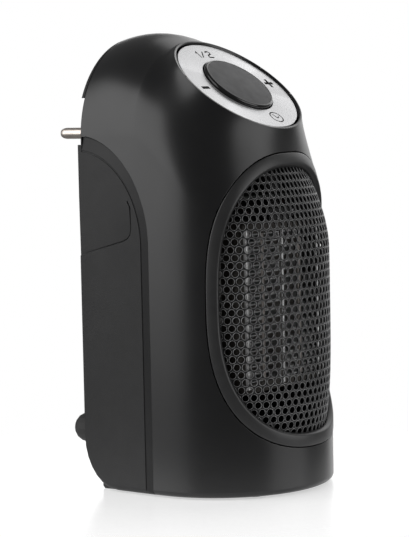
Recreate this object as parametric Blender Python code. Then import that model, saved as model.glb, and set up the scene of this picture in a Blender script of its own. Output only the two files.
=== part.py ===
"""Plug-in ceramic fan heater: two-shell housing, tilted control ring, perforated front grille,
PTC heating block, axial fan, rotating mains plug on the back.

Lengths below are in millimetres and become metres in new_object(). Body axes: the front grille faces
-Y, the plug points to +Y, Z is up. Body Y = 0 is the axis of the rounded front; ORIGIN_Y moves the
model so that the world origin lies at the middle of the footprint, on the floor.
"""

import math

import bmesh
import bpy
from mathutils import Vector

MM = 0.001
GAP = 0.35            # running gap between neighbouring pieces

# ---- housing -------------------------------------------------------------------------------------
HALF_WIDTH = 50.6     # widest half width, over the front axis
FRONT_REACH = 48.8    # front axis to the front face
REAR_HALF_WIDTH = 47.0
BACK_Y = 46.4         # outer face of the rear cover
SHELL_BACK_Y = 44.6   # rear edge of the glossy front shell
RIDGE_Z = (205.4, 207.3)  # ridge height at the back edge and half way to the ring
WALL = 2.6
BACK_WALL = 3.9
FLOOR_Z = 0.8         # underside of the housing, the feet reach to zero
EDGE_ROUND = 2.8      # rounding along the bottom edge
EDGE_ROWS = 3
ARCH_Z = 160.0        # springing height of the round top
ROUND_SHARE = 0.5523  # Bezier arm of a quarter circle
# shoulder curve from the back round to the front in equal steps: top of the straight wall, length of
# the Bezier arm there, length of the arm at the rim, and its angle below the horizontal
WALL_TOP_Z = (160.0, 151.6, 132.7, 112.5, 100.0)
WALL_PULL = (25.35, 21.2, 20.3, 18.5, 16.5)
WALL_PULL_SLOPE = -39.7  # first slopes, with which the front meets the arched back without a crease
RIM_PULL = (27.3, 18.7, 15.4, 13.4, 12.1)
RIM_PULL_SLOPE = -61.1
DROOP_DEGREES = (0.0, 40.0, 76.0, 89.0, 93.0)
DROOP_SLOPE = 123.0
TUCK_Y = 29.0         # where the underside starts to curve up into the back
TUCK_RISE = 21.0

# ---- control ring --------------------------------------------------------------------------------
# an oval: radii are those across the body, and OVAL shortens them along the slope
OVAL = 0.847
RING_CENTRE = Vector((0.0, -10.14, 182.39))
RING_TILT = math.radians(39.9)
RIM_RADIUS = 37.3
RIM_RISE = 0.6        # heights in the ring stack are measured along the tilted axis
RIM_BORE = 35.5
RING_FACE = 0.0
RING_RADIUS = 35.0
RING_HOLE = 20.4
RING_T = 1.2
CAP_RADIUS = 19.9
CAP_RISE = 2.2
KEY_REACH = 28.0       # ring centre to the pegs and the switches under them

# ---- front opening, in arc length round the front and in height ----------------------------------
OPENING_HALF_ARC = 57.4
OPENING_HALF_HEIGHT = 65.6
OPENING_Z = 86.2
FRAME_WIDTH = 5.6
OPENING_POWER = 2.8   # superellipse powers of the upper and the lower half of the outline
OPENING_LOW_POWER = 2.55
OPENING_CLEARANCE = 0.5  # between the frame and the edge of the shell round it
SHEET_INSET = 2.0     # edge of the grille sheet inside the outline, behind the frame
PUNCHED_SHARE = 0.80  # share of the opening's reach within which the sheet has holes
FRAME_PROUD = 0.25
FRAME_BACK = -2.4
GRILLE_T = 0.8
GRILLE_SETBACK = 2.8  # at the edge; the sheet bows out to lie almost flush in the middle
GRILLE_BOW = 2.5
BOW_POWER = 5
BOW_START = 0.93      # share of the reach outside which the sheet has no bow
PAD_REACHES = (1.0, 0.93, 0.8, 0.6, 0.4, 0.2)

# ---- seam of the rear shell on the sides ---------------------------------------------------------
SEAM_Y = 6.6
SEAM_CENTRE_Z = 112.0
SEAM_RADIUS_Z = 49.0
SEAM_OVERRUN = 0.6    # the seam's quarter oval would end this far behind the back face

# ---- plug ----------------------------------------------------------------------------------------
PLUG_Z = 161.6
TURNTABLE_RADIUS = 39.0
TURNTABLE_FACE_Y = 44.6
HUB_BORE_RADIUS = 30.4
PLUG_RADIUS = 17.6
PLUG_FACE_Y = 64.6
PIN_RADIUS = 2.4
PIN_HALF_PITCH = 9.5
PIN_LENGTH = 19.2

# ---- fasteners, feet, bumpers, vents, switch --------------------------------------------------------
SCREW_X = 38.9
SCREW_HEIGHTS = (44.0, 116.0)
BOSS_RADIUS = 3.6
HEAD_RADIUS = 2.8
SHANK_RADIUS = 1.5
FRONT_FEET = ((-25.0, -30.0), (25.0, -30.0))
FOOT_RADIUS = 5.0
BUMPER_X, BUMPER_Z, BUMPER_RADIUS, BUMPER_RISE = 38.0, 27.0, 6.7, 10.6
VENT_ROWS, VENT_LOW_Z, VENT_PITCH, VENT_HEIGHT = 12, 50.0, 6.0, 2.8
VENT_MIDDLE, VENT_HALF_WIDTH = 1.6, 29.0
NOTCH_LOW_Z, NOTCH_HIGH_Z = 157.0, 178.0
PLATE_LOW_Z = 127.0
ROCKER_Y, ROCKER_Z = 35.0, 72.0
ROCKER_HALF_U, ROCKER_HALF_V = 5.2, 8.6
ROCKER_LEAN = 7.0
HOLE_PITCH, HOLE_RADIUS = 15.0, 6.6

# ---- air path ------------------------------------------------------------------------------------
FAN_Z = 84.0
FAN_RADIUS = 37.0
HUB_RADIUS = 11.0
DUCT_RADIUS = 38.2
SHAFT_RADIUS = 1.5
MOTOR_RADIUS = 12.5
BLADES = 7
PTC_HALF_X = 30.2
PTC_SIDE = 3.2
PTC_LOW_Z, PTC_HIGH_Z = 46.0, 121.0
PTC_FRONT_Y, PTC_BACK_Y = -32.0, -20.5

FOOTPRINT_MIDDLE_Y = (PLUG_FACE_Y + PIN_LENGTH - FRONT_REACH - FRAME_PROUD) / 2
ORIGIN_Y = -FOOTPRINT_MIDDLE_Y


# ==================================================================================================
# scene, materials and small helpers
# ==================================================================================================
def clear_scene():
    for item in list(bpy.data.objects):
        bpy.data.objects.remove(item, do_unlink=True)


def material(name, colour, roughness, metallic=0.0):
    made = bpy.data.materials.new(name)
    made.use_nodes = True
    shader = made.node_tree.nodes["Principled BSDF"]
    shader.inputs["Base Color"].default_value = (*colour, 1.0)
    shader.inputs["Roughness"].default_value = roughness
    shader.inputs["Metallic"].default_value = metallic
    made.diffuse_color = (*colour, 1.0)
    return made


def to_world(point, pivot=None):
    """Body millimetres to metres, measured from a pivot given in body millimetres."""
    base = Vector(pivot) if pivot is not None else Vector((0, -ORIGIN_Y, 0))
    return (Vector(point) - base) * MM


def new_object(name, points, faces, finish=None, pivot=None, smooth_angle=35.0, triangles=False):
    """One closed mesh object; its own origin lies on the pivot when there is one."""
    mesh = bpy.data.meshes.new(name)
    mesh.from_pydata([to_world(p, pivot) for p in points], [], [tuple(f) for f in faces])
    work = bmesh.new()
    work.from_mesh(mesh)
    bmesh.ops.triangulate(work, faces=[f for f in work.faces if triangles or len(f.verts) > 4])
    bmesh.ops.recalc_face_normals(work, faces=work.faces)
    if work.calc_volume(signed=True) < 0:
        bmesh.ops.reverse_faces(work, faces=work.faces)
    work.to_mesh(mesh)
    work.free()
    mesh.shade_smooth()
    mesh.set_sharp_from_angle(angle=math.radians(smooth_angle))
    made = bpy.data.objects.new(name, mesh)
    if pivot is not None:
        made.location = to_world(pivot)
    if finish is not None:
        mesh.materials.append(finish)
    bpy.context.scene.collection.objects.link(made)
    return made


def new_set(name, solids, finish, pivot=None):
    """One object for each of several like pieces, numbered from 1."""
    for number, solid in enumerate(solids, 1):
        new_object(f"{name}_{number}", *solid, finish, pivot)


def hide_cutter(tool):
    tool.hide_render = True
    tool.display_type = "WIRE"


def boolean(target, tool, operation="DIFFERENCE"):
    step = target.modifiers.new(tool.name, "BOOLEAN")
    step.operation = operation
    step.solver = "EXACT"
    step.object = tool
    hide_cutter(tool)


def join(parts):
    """Several (points, faces) pairs as one pair that keeps separate bodies."""
    points, faces = [], []
    for part_points, part_faces in parts:
        start = len(points)
        points += part_points
        faces += [tuple(i + start for i in face) for face in part_faces]
    return points, faces


def prism(outline, low, high, axis="Y"):
    """Outline in the plane across the axis, as closed solid. X: (y, z), Y: (x, z), Z: (x, y)."""
    def at(pair, level):
        a, b = pair
        return {"X": (level, a, b), "Y": (a, level, b), "Z": (a, b, level)}[axis]
    count = len(outline)
    points = [at(pair, low) for pair in outline] + [at(pair, high) for pair in outline]
    faces = [tuple(range(count)), tuple(range(2 * count - 1, count - 1, -1))]
    faces += [(i, (i + 1) % count, count + (i + 1) % count, count + i) for i in range(count)]
    return points, faces


def box(x0, x1, y0, y1, z0, z1):
    return prism([(x0, z0), (x1, z0), (x1, z1), (x0, z1)], y0, y1)


def circle(radius, count, centre=(0.0, 0.0), start=0.0):
    steps = (start + 2 * math.pi * i / count for i in range(count))
    return [(centre[0] + radius * math.cos(a), centre[1] + radius * math.sin(a)) for a in steps]


def rod(x, y, z, radius, length, axis="Y", count=16):
    """Cylinder that starts at (x, y, z) and runs along its axis."""
    across = {"X": (y, z), "Y": (x, z), "Z": (x, y)}[axis]
    start = {"X": x, "Y": y, "Z": z}[axis]
    return prism(circle(radius, count, across), start, start + length, axis)


def turned(profile, place, count=32):
    """Closed (radius, height) profile turned about a local axis; place maps (a, b, h) to the body."""
    points, faces = [], []
    size = len(profile)
    for i in range(count):
        angle = 2 * math.pi * i / count
        points += [place(r * math.cos(angle), r * math.sin(angle), h) for r, h in profile]
    for i in range(count):
        for k in range(size):
            a, b = i * size + k, i * size + (k + 1) % size
            c, d = (i + 1) % count * size + (k + 1) % size, (i + 1) % count * size + k
            faces.append((a, b, c, d))
    return points, faces


def turned_solid(profile, place, count=32):
    """(radius, height) profile from the top of the axis to its foot, closed by a fan at each end."""
    points, faces = [], []
    size = len(profile)
    for i in range(count):
        angle = 2 * math.pi * i / count
        points += [place(r * math.cos(angle), r * math.sin(angle), h) for r, h in profile]
    for i in range(count):
        for k in range(size - 1):
            a, b = i * size + k, i * size + k + 1
            c, d = (i + 1) % count * size + k + 1, (i + 1) % count * size + k
            faces.append((a, b, c, d))
    faces.append(tuple(i * size for i in range(count)))
    faces.append(tuple(i * size + size - 1 for i in reversed(range(count))))
    return points, faces


def along_y(x, z):
    """Local frame whose axis runs along +Y through (x, z)."""
    return lambda a, b, h: (x + a, h, z + b)


def along_z(x, y):
    return lambda a, b, h: (x + a, y + b, h)


def tube_path(route, radius, sides=8):
    """Closed round bar along a list of points."""
    points, faces = [], []
    way = [Vector(p) for p in route]
    side = Vector((0.0, 0.0, 1.0))
    for i, here in enumerate(way):
        ahead = (way[min(i + 1, len(way) - 1)] - way[max(i - 1, 0)]).normalized()
        if abs(ahead.dot(side)) > 0.95:
            side = Vector((1.0, 0.0, 0.0))
        u = ahead.cross(side).normalized()
        side = u.cross(ahead).normalized()
        for k in range(sides):
            angle = 2 * math.pi * k / sides
            points.append(tuple(here + radius * (math.cos(angle) * u + math.sin(angle) * side)))
    for i in range(len(way) - 1):
        for k in range(sides):
            a, b = i * sides + k, i * sides + (k + 1) % sides
            faces.append((a, b, b + sides, a + sides))
    faces.append(tuple(range(sides)))
    last = (len(way) - 1) * sides
    faces.append(tuple(last + k for k in reversed(range(sides))))
    return points, faces


# ==================================================================================================
# housing surface
# ==================================================================================================
RING_UP = Vector((0.0, math.cos(RING_TILT), math.sin(RING_TILT)))
RING_NORMAL = Vector((0.0, -math.sin(RING_TILT), math.cos(RING_TILT)))


def ring_place(a, b, h):
    """Ring frame: a across, b uphill towards the back and shortened to the oval, h out of the face."""
    return tuple(RING_CENTRE + Vector((a, 0, 0)) + OVAL * b * RING_UP + h * RING_NORMAL)


def rim_point(turn):
    """Point on the housing rim; turn runs 0 to 1 from the back over the -X side to the front."""
    angle = math.pi / 2 + math.pi * turn
    across, uphill = RIM_RADIUS * math.cos(angle), RIM_RADIUS * math.sin(angle)
    return Vector(ring_place(across, uphill, RIM_RISE))


JUNCTION_Y = rim_point(0).y


def half_width(y):
    share = min(max((y - 2.0) / (BACK_Y - 2.0), 0.0), 1.0)
    return HALF_WIDTH - (HALF_WIDTH - REAR_HALF_WIDTH) * share ** 1.5


def plan_point(share):
    """Outline of the -X half seen from above, from the junction round to the front centre."""
    distance = share * (JUNCTION_Y + HALF_WIDTH * math.pi / 2)
    if distance < JUNCTION_Y:
        y = JUNCTION_Y - distance
        return -half_width(y), y
    angle = (distance - JUNCTION_Y) / HALF_WIDTH
    return -HALF_WIDTH * math.cos(angle), -FRONT_REACH * math.sin(angle)


def plan_share(turn):
    """Columns stand closer together where the housing turns from its side to its back."""
    return 0.35 * turn + 0.47 * turn ** 2 + 0.18 * turn ** 3


def eased(turn, values, start_slope):
    """Smooth curve through values at equal steps of turn from 0 to 1, with a given first slope."""
    last = len(values) - 1
    slopes = [start_slope / last]
    slopes += [(values[i + 1] - values[i - 1]) / 2 for i in range(1, last)]
    slopes.append((values[last] - values[last - 1]) / 2)
    i = min(int(turn * last), last - 1)
    t = turn * last - i
    held = (1 + 2 * t) * (1 - t) ** 2 * values[i] + t * t * (3 - 2 * t) * values[i + 1]
    return held + t * (1 - t) ** 2 * slopes[i] - t * t * (1 - t) * slopes[i + 1]


def shoulder(turn, y=None):
    """Bezier points of the curve from the top of the wall to the rim, or to the ridge at a given y."""
    if y is not None:
        share = (y - JUNCTION_Y) / (BACK_Y - JUNCTION_Y)
        width = half_width(y)
        top = rim_point(0).z * (1 - share) + RIDGE_Z[0] * share
        bulge = RIDGE_Z[1] - (rim_point(0).z + RIDGE_Z[0]) / 2
        top += 4 * bulge * share * (1 - share)
        foot, head = Vector((-width, y, ARCH_Z)), Vector((0, y, top))
        return (foot, foot + Vector((0, 0, ROUND_SHARE * (top - ARCH_Z))),
                head - Vector((ROUND_SHARE * width, 0, 0)), head)
    x, plan_y = plan_point(plan_share(turn))
    head = rim_point(turn)
    foot = Vector((x, plan_y, eased(turn, WALL_TOP_Z, 0.0)))
    outward = Vector((x - head.x, plan_y - head.y, 0)).normalized()
    droop = math.radians(eased(turn, DROOP_DEGREES, DROOP_SLOPE))
    leave = outward * math.cos(droop) - Vector((0, 0, math.sin(droop)))
    return (foot, foot + Vector((0, 0, eased(turn, WALL_PULL, WALL_PULL_SLOPE))),
            head + eased(turn, RIM_PULL, RIM_PULL_SLOPE) * leave, head)


def underside_z(y, inset=0.0):
    """Height of the underside, or of the floor inside it."""
    share = min(max((y - TUCK_Y) / (BACK_Y - inset - TUCK_Y), 0.0), 1.0)
    return FLOOR_Z + inset + TUCK_RISE * (1 - math.sqrt(1 - share * share))


def bezier(ends, t):
    a, b, c, d = ends
    s = 1 - t
    return s ** 3 * a + 3 * s * s * t * b + 3 * s * t * t * c + t ** 3 * d


def housing_column(ends, wall_rows, shoulder_rows):
    """Points of one column of the surface, from the underside up to the rim or ridge."""
    foot = ends[0]
    low = underside_z(foot.y)
    column = []
    for step in range(EDGE_ROWS):
        angle = math.pi / 2 * step / EDGE_ROWS
        inward = EDGE_ROUND * (1 - math.sin(angle)) / math.hypot(foot.x, min(foot.y, 0.0))
        lift = EDGE_ROUND * (1 - math.cos(angle))
        column.append(Vector((foot.x * (1 - inward), foot.y - min(foot.y, 0.0) * inward, low + lift)))
    for step in range(wall_rows):
        level = low + EDGE_ROUND + (foot.z - low - EDGE_ROUND) * step / wall_rows
        column.append(Vector((foot.x, foot.y, level)))
    column += [bezier(ends, step / shoulder_rows) for step in range(shoulder_rows + 1)]
    return column


def housing_grid(back_y=BACK_Y, back_columns=6, fan_columns=14, wall_rows=3, shoulder_rows=7):
    """Columns of the -X half from the back edge to the front centre."""
    grid = []
    for step in range(back_columns):
        y = JUNCTION_Y + (back_y - JUNCTION_Y) * math.cos(math.pi / 2 * step / back_columns)
        grid.append(housing_column(shoulder(0, y), wall_rows, shoulder_rows))
    for step in range(fan_columns + 1):
        grid.append(housing_column(shoulder(step / fan_columns), wall_rows, shoulder_rows))
    return grid


def inner_grid(back_y):
    """Columns of the hollow: the wall and shoulder moved inwards by the wall thickness."""
    grid = [column[EDGE_ROWS:] for column in housing_grid(back_y)]
    rows = len(grid[0])
    moved = []
    for i, column in enumerate(grid):
        before, after = grid[max(i - 1, 0)], grid[min(i + 1, len(grid) - 1)]
        new_column = []
        for j, point in enumerate(column):
            along = after[j] - before[j]
            up = column[min(j + 1, rows - 1)] - column[max(j - 1, 0)]
            normal = along.cross(up).normalized()
            if abs(point.x) < 1e-6:
                normal = Vector((0, normal.y, normal.z)).normalized()
            if i == 0:
                normal = Vector((normal.x, 0, normal.z)).normalized()
            new_column.append(point - WALL * normal)
        new_column[0].z = underside_z(new_column[0].y, WALL)
        moved.append(new_column)
    return moved


def grid_solid(grid):
    """Both halves of a housing grid with its underside, back and ring opening closed by strips."""
    rows, columns = len(grid[0]), len(grid)
    points, index = [], {}
    for side in (1, -1):
        for i, column in enumerate(grid):
            for j, p in enumerate(column):
                on_middle = abs(p.x) < 1e-6
                if side == -1 and on_middle:
                    index[side, i, j] = index[1, i, j]
                    continue
                index[side, i, j] = len(points)
                points.append((p.x * side, p.y, p.z))
    faces = []
    for i in range(columns - 1):
        for j in range(rows - 1):
            corners = [(i, j), (i + 1, j), (i + 1, j + 1), (i, j + 1)]
            faces.append([index[1, a, b] for a, b in corners])
            faces.append([index[-1, a, b] for a, b in reversed(corners)])
        for j in (0, rows - 1):
            strip = [index[1, i, j], index[-1, i, j], index[-1, i + 1, j], index[1, i + 1, j]]
            faces.append(strip if j == 0 else strip[::-1])
    for j in range(rows - 1):
        faces.append([index[1, 0, j], index[1, 0, j + 1], index[-1, 0, j + 1], index[-1, 0, j]])
    clean = []
    for face in faces:
        distinct = []
        for corner in face:
            if corner not in distinct:
                distinct.append(corner)
        if len(distinct) > 2:
            clean.append(distinct)
    return points, clean


def front_surface(arc, z):
    """Point of the housing surface at an arc length from the front centre and a height."""
    from_side = math.pi / 2 - abs(arc) / HALF_WIDTH
    whole = JUNCTION_Y + HALF_WIDTH * math.pi / 2
    share = (JUNCTION_Y + HALF_WIDTH * from_side) / whole
    low, high = 0.0, 1.0
    for _ in range(24):
        middle = (low + high) / 2
        if plan_share(middle) < share:
            low = middle
        else:
            high = middle
    ends = shoulder(low)
    sign = 1 if arc > 0 else -1
    if z <= ends[0].z:
        return Vector((abs(ends[0].x) * sign, ends[0].y, z))
    low, high = 0.0, 1.0
    for _ in range(24):
        middle = (low + high) / 2
        if bezier(ends, middle).z < z:
            low = middle
        else:
            high = middle
    found = bezier(ends, low)
    return Vector((abs(found.x) * sign, found.y, found.z))


def front_point(arc, z, lift):
    """Point at a height above (or, negative, below) the front surface."""
    step = 0.5
    across = front_surface(arc + step, z) - front_surface(arc - step, z)
    up = front_surface(arc, z + step) - front_surface(arc, z - step)
    normal = across.cross(up).normalized()
    return front_surface(arc, z) + lift * normal


def opening_outline(inset, count=48):
    """Points (arc, z) of the front opening moved inwards by an inset."""
    outline = []
    for step in range(count):
        angle = 2 * math.pi * step / count
        c, s = math.cos(angle), math.sin(angle)
        power = 2 / (OPENING_POWER if s > 0 else OPENING_LOW_POWER)
        arc = math.copysign(abs(c) ** power, c) * (OPENING_HALF_ARC - inset)
        rise = math.copysign(abs(s) ** power, s) * (OPENING_HALF_HEIGHT - inset)
        outline.append((arc, OPENING_Z + rise))
    return outline


def bow_share(reach):
    """Share of the bow at a reach from 0 in the middle of the opening to 1 at its edge."""
    return max(1 - (reach / BOW_START) ** BOW_POWER, 0.0)


def front_pad(inset, low_lift, high_lift, bow=0.0):
    """Closed sheet that follows the front surface and fills the opening outline.

    With a bow, its middle stands further out than its edge by that much.
    """
    outline = opening_outline(inset)
    count, rings = len(outline), len(PAD_REACHES)
    points, faces = [], []
    for lift in (low_lift, high_lift):
        for k in PAD_REACHES:
            for arc, z in outline:
                out = lift + bow * bow_share(k)
                points.append(tuple(front_point(arc * k, OPENING_Z + (z - OPENING_Z) * k, out)))
        points.append(tuple(front_point(0.0, OPENING_Z, lift + bow)))
    layer = count * rings + 1
    for base in (0, layer):
        for ring in range(rings - 1):
            for i in range(count):
                a, b = base + ring * count + i, base + ring * count + (i + 1) % count
                faces.append((a, b, b + count, a + count))
        last = base + (rings - 1) * count
        faces += [(last + i, last + (i + 1) % count, base + layer - 1) for i in range(count)]
    faces += [(i, (i + 1) % count, layer + (i + 1) % count, layer + i) for i in range(count)]
    return points, faces


# ==================================================================================================
# shells
# ==================================================================================================
def seam_outline(gap):
    """(y, z) region taken by the rear shell; a positive gap shrinks it."""
    outline = [(BACK_Y + 20, -20.0), (SEAM_Y + gap, -20.0), (SEAM_Y + gap, SEAM_CENTRE_Z)]
    end_y = BACK_Y + SEAM_OVERRUN
    reach = end_y - SEAM_Y
    steps = 12
    for step in range(1, steps + 1):
        angle = math.pi / 2 * step / steps
        y = end_y - (reach - gap) * math.cos(angle)
        z = SEAM_CENTRE_Z + (SEAM_RADIUS_Z - gap) * math.sin(angle)
        if y < SHELL_BACK_Y:
            outline.append((y, z))
    crown_z = SEAM_CENTRE_Z + SEAM_RADIUS_Z - gap
    outline += [(SHELL_BACK_Y + gap, crown_z), (SHELL_BACK_Y + gap, 240.0), (BACK_Y + 20, 240.0)]
    return outline


def foot_pockets():
    return join([rod(x, y, -1.0, FOOT_RADIUS + GAP, 3.0, "Z") for x, y in FRONT_FEET])


def screw_places():
    return [(side * SCREW_X, z) for side in (-1, 1) for z in SCREW_HEIGHTS]


def make_housing(gloss, matte):
    grid = housing_grid()
    inner = new_object("cut_inner", *grid_solid(inner_grid(BACK_Y - BACK_WALL)), triangles=True)
    open_inner = new_object("cut_inner_open", *grid_solid(inner_grid(BACK_Y + 9)), triangles=True)
    front = new_object("front_shell", *grid_solid(grid), gloss, smooth_angle=50, triangles=True)
    rear = new_object("rear_shell", *grid_solid(grid), matte, smooth_angle=50, triangles=True)

    boolean(front, open_inner)
    ring_bore = prism(circle(RIM_BORE, 48), -13.0, 9.0, "Z")
    bore_points = [ring_place(*p) for p in ring_bore[0]]
    boolean(front, new_object("cut_ring", bore_points, ring_bore[1]))
    boolean(front, new_object("cut_opening", *front_pad(-OPENING_CLEARANCE, -9.0, 9.0), triangles=True))
    boolean(front, new_object("cut_seam", *prism(seam_outline(-GAP / 2), -80, 80, "X")))
    boolean(front, new_object("cut_feet", *foot_pockets()))
    ribs, bosses, holes = [], [], []
    for x, z in screw_places():
        side = math.copysign(1.0, x)
        far = side * (HALF_WIDTH - 1.2)
        near = x + side * (BOSS_RADIUS - 1.0)
        ribs.append(box(min(near, far), max(near, far), -3.0, 5.0, z - 1.2, z + 1.2))
        bosses.append(rod(x, -3.6, z, BOSS_RADIUS, BACK_Y - BACK_WALL - GAP + 3.6, count=12))
        holes.append(rod(x, 24.0, z, SHANK_RADIUS + GAP, 30.0, count=12))
    boolean(front, new_object("add_ribs", *join(ribs)), "UNION")
    boolean(front, new_object("add_bosses", *join(bosses)), "UNION")
    boolean(front, new_object("cut_screws_front", *join(holes)))

    boolean(rear, new_object("keep_rear", *prism(seam_outline(GAP / 2), -80, 80, "X")), "INTERSECT")
    boolean(rear, inner)
    collar = prism(arch_outline(0.9, 150.0), BACK_Y - BACK_WALL + 0.1, SHELL_BACK_Y + 0.8)
    boolean(rear, new_object("add_collar", *collar), "UNION")
    table = [rod(0, BACK_Y - 9, PLUG_Z, TURNTABLE_RADIUS + GAP + 0.3, 20, count=64)]
    boolean(rear, new_object("cut_turntable", *join(table)))
    notch = box(-70, 70, SHELL_BACK_Y - 0.1, BACK_Y + 9, NOTCH_LOW_Z, NOTCH_HIGH_Z)
    boolean(rear, new_object("cut_notch", *notch))
    boolean(rear, new_object("cut_grips", *join([finger_grip(-1), finger_grip(1)]), triangles=True))
    slots = []
    for row in range(VENT_ROWS):
        z = VENT_LOW_Z + row * VENT_PITCH
        for side in (-1, 1):
            x0, x1 = sorted((side * VENT_MIDDLE, side * VENT_HALF_WIDTH))
            slots.append(box(x0, x1, BACK_Y - 12, BACK_Y + 9, z, z + VENT_HEIGHT))
    boolean(rear, new_object("cut_vents", *join(slots)))
    places = screw_places()
    boolean(rear, new_object("cut_screws", *join([screw_clearance(x, z) for x, z in places])))
    points, faces = box(-ROCKER_HALF_U - 2, ROCKER_HALF_U + 2, -ROCKER_HALF_V - 2, ROCKER_HALF_V + 2, -9, 9)
    boolean(rear, new_object("cut_rocker", [rocker_place(*p) for p in points], faces))
    return front, rear


def arch_outline(clearance, low_z, steps=20):
    """(x, z) outline that fits inside the back of the shells with a clearance."""
    reach = REAR_HALF_WIDTH - WALL + 0.4 - clearance
    rise = RIDGE_Z[0] - WALL - ARCH_Z - clearance
    angles = [math.pi * step / steps for step in range(steps + 1)]
    arc = [(reach * math.cos(angle), ARCH_Z + rise * math.sin(angle)) for angle in angles]
    return arc + [(-reach, low_z), (reach, low_z)]


def finger_grip(side):
    """Wedge cut from the side of the rear shell: nothing at its top crease, deepest at its foot."""
    top, foot, depth = 140.0, 106.5, 0.8
    outline = [(BACK_Y + 6, 141.6), (17.7, 132.0), (16.2, 129.0), (16.0, 119.0), (21.0, 113.9),
               (BACK_Y + 6, 105.6)]
    points = []
    for y, z in outline:
        sunk = depth * (top - 8 * (y < 30) - z) / (top - foot)
        points.append((side * (half_width(y) - max(sunk, -0.2)), y, z))
    points += [(side * 70, y, z) for y, z in outline]
    count = len(outline)
    faces = [tuple(range(count)), tuple(range(2 * count - 1, count - 1, -1))]
    faces += [(i, (i + 1) % count, count + (i + 1) % count, count + i) for i in range(count)]
    return points, faces


def screw_clearance(x, z):
    profile = [(HEAD_RADIUS + GAP, BACK_Y + 5), (HEAD_RADIUS + GAP, BACK_Y - 2.2),
               (SHANK_RADIUS + GAP, BACK_Y - 2.2), (SHANK_RADIUS + GAP, BACK_Y - 12)]
    return turned_solid(profile, along_y(x, z), 12)


def make_screws(steel):
    parts = []
    for x, z in screw_places():
        profile = [(1.0, BACK_Y - 0.9), (1.0, BACK_Y - 0.3), (HEAD_RADIUS - 0.4, BACK_Y - 0.3),
                   (HEAD_RADIUS, BACK_Y - 0.7), (HEAD_RADIUS, BACK_Y - 1.85),
                   (SHANK_RADIUS, BACK_Y - 1.85), (SHANK_RADIUS, BACK_Y - 16), (0.5, BACK_Y - 18)]
        parts.append(turned_solid(profile, along_y(x, z), 12))
    new_set("housing_screw", parts, steel)


# ==================================================================================================
# front opening: frame and grille
# ==================================================================================================
def make_grille_frame(finish):
    band = [(0.0, FRAME_PROUD - 0.3), (0.5, FRAME_PROUD), (FRAME_WIDTH - 2.2, FRAME_PROUD),
            (FRAME_WIDTH, -1.4), (FRAME_WIDTH, FRAME_BACK), (0.0, FRAME_BACK)]
    loops = [opening_outline(inset) for inset, _ in band]
    count, size = len(loops[0]), len(band)
    points, faces = [], []
    for i in range(count):
        for loop, (_, lift) in zip(loops, band):
            points.append(tuple(front_point(*loop[i], lift)))
    for i in range(count):
        for k in range(size):
            a, b = i * size + k, i * size + (k + 1) % size
            c, d = (i + 1) % count * size + (k + 1) % size, (i + 1) % count * size + k
            faces.append((a, b, c, d))
    new_object("grille_frame", points, faces, finish)


def make_grille(finish):
    """Perforated sheet behind the frame, with hexagonal openings in staggered rows."""
    sheet = front_pad(SHEET_INSET, -GRILLE_SETBACK - GRILLE_T, -GRILLE_SETBACK, GRILLE_BOW)
    grille = new_object("grille", *sheet, finish, triangles=True)
    cutters = []
    rows = int(OPENING_HALF_HEIGHT / (HOLE_PITCH * 0.866))
    columns = int(OPENING_HALF_ARC / HOLE_PITCH)
    for row in range(-rows, rows + 1):
        for column in range(-columns, columns + 1):
            arc = (column + 0.5 * (row % 2)) * HOLE_PITCH
            rise = row * HOLE_PITCH * 0.866
            reach = abs(arc / OPENING_HALF_ARC) ** OPENING_POWER
            reach += abs(rise / OPENING_HALF_HEIGHT) ** OPENING_POWER
            if reach < PUNCHED_SHARE ** OPENING_POWER:
                cutters.append(grille_hole(arc, OPENING_Z + rise))
    boolean(grille, new_object("cut_grille", *join(cutters)))


def grille_hole(arc, z):
    centre = front_point(arc, z, 0.0)
    out = (front_point(arc, z, 1.0) - front_point(arc, z, 0.0)).normalized()
    across = out.cross(Vector((0, 0, 1))).normalized()
    up = across.cross(out)
    points = []
    for depth in (-6.0, 3.0):
        for a, b in circle(HOLE_RADIUS, 6, start=math.pi / 6):
            points.append(tuple(centre + a * across + b * up + depth * out))
    faces = [tuple(range(6)), tuple(range(11, 5, -1))]
    faces += [(i, (i + 1) % 6, 6 + (i + 1) % 6, 6 + i) for i in range(6)]
    return points, faces


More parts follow.
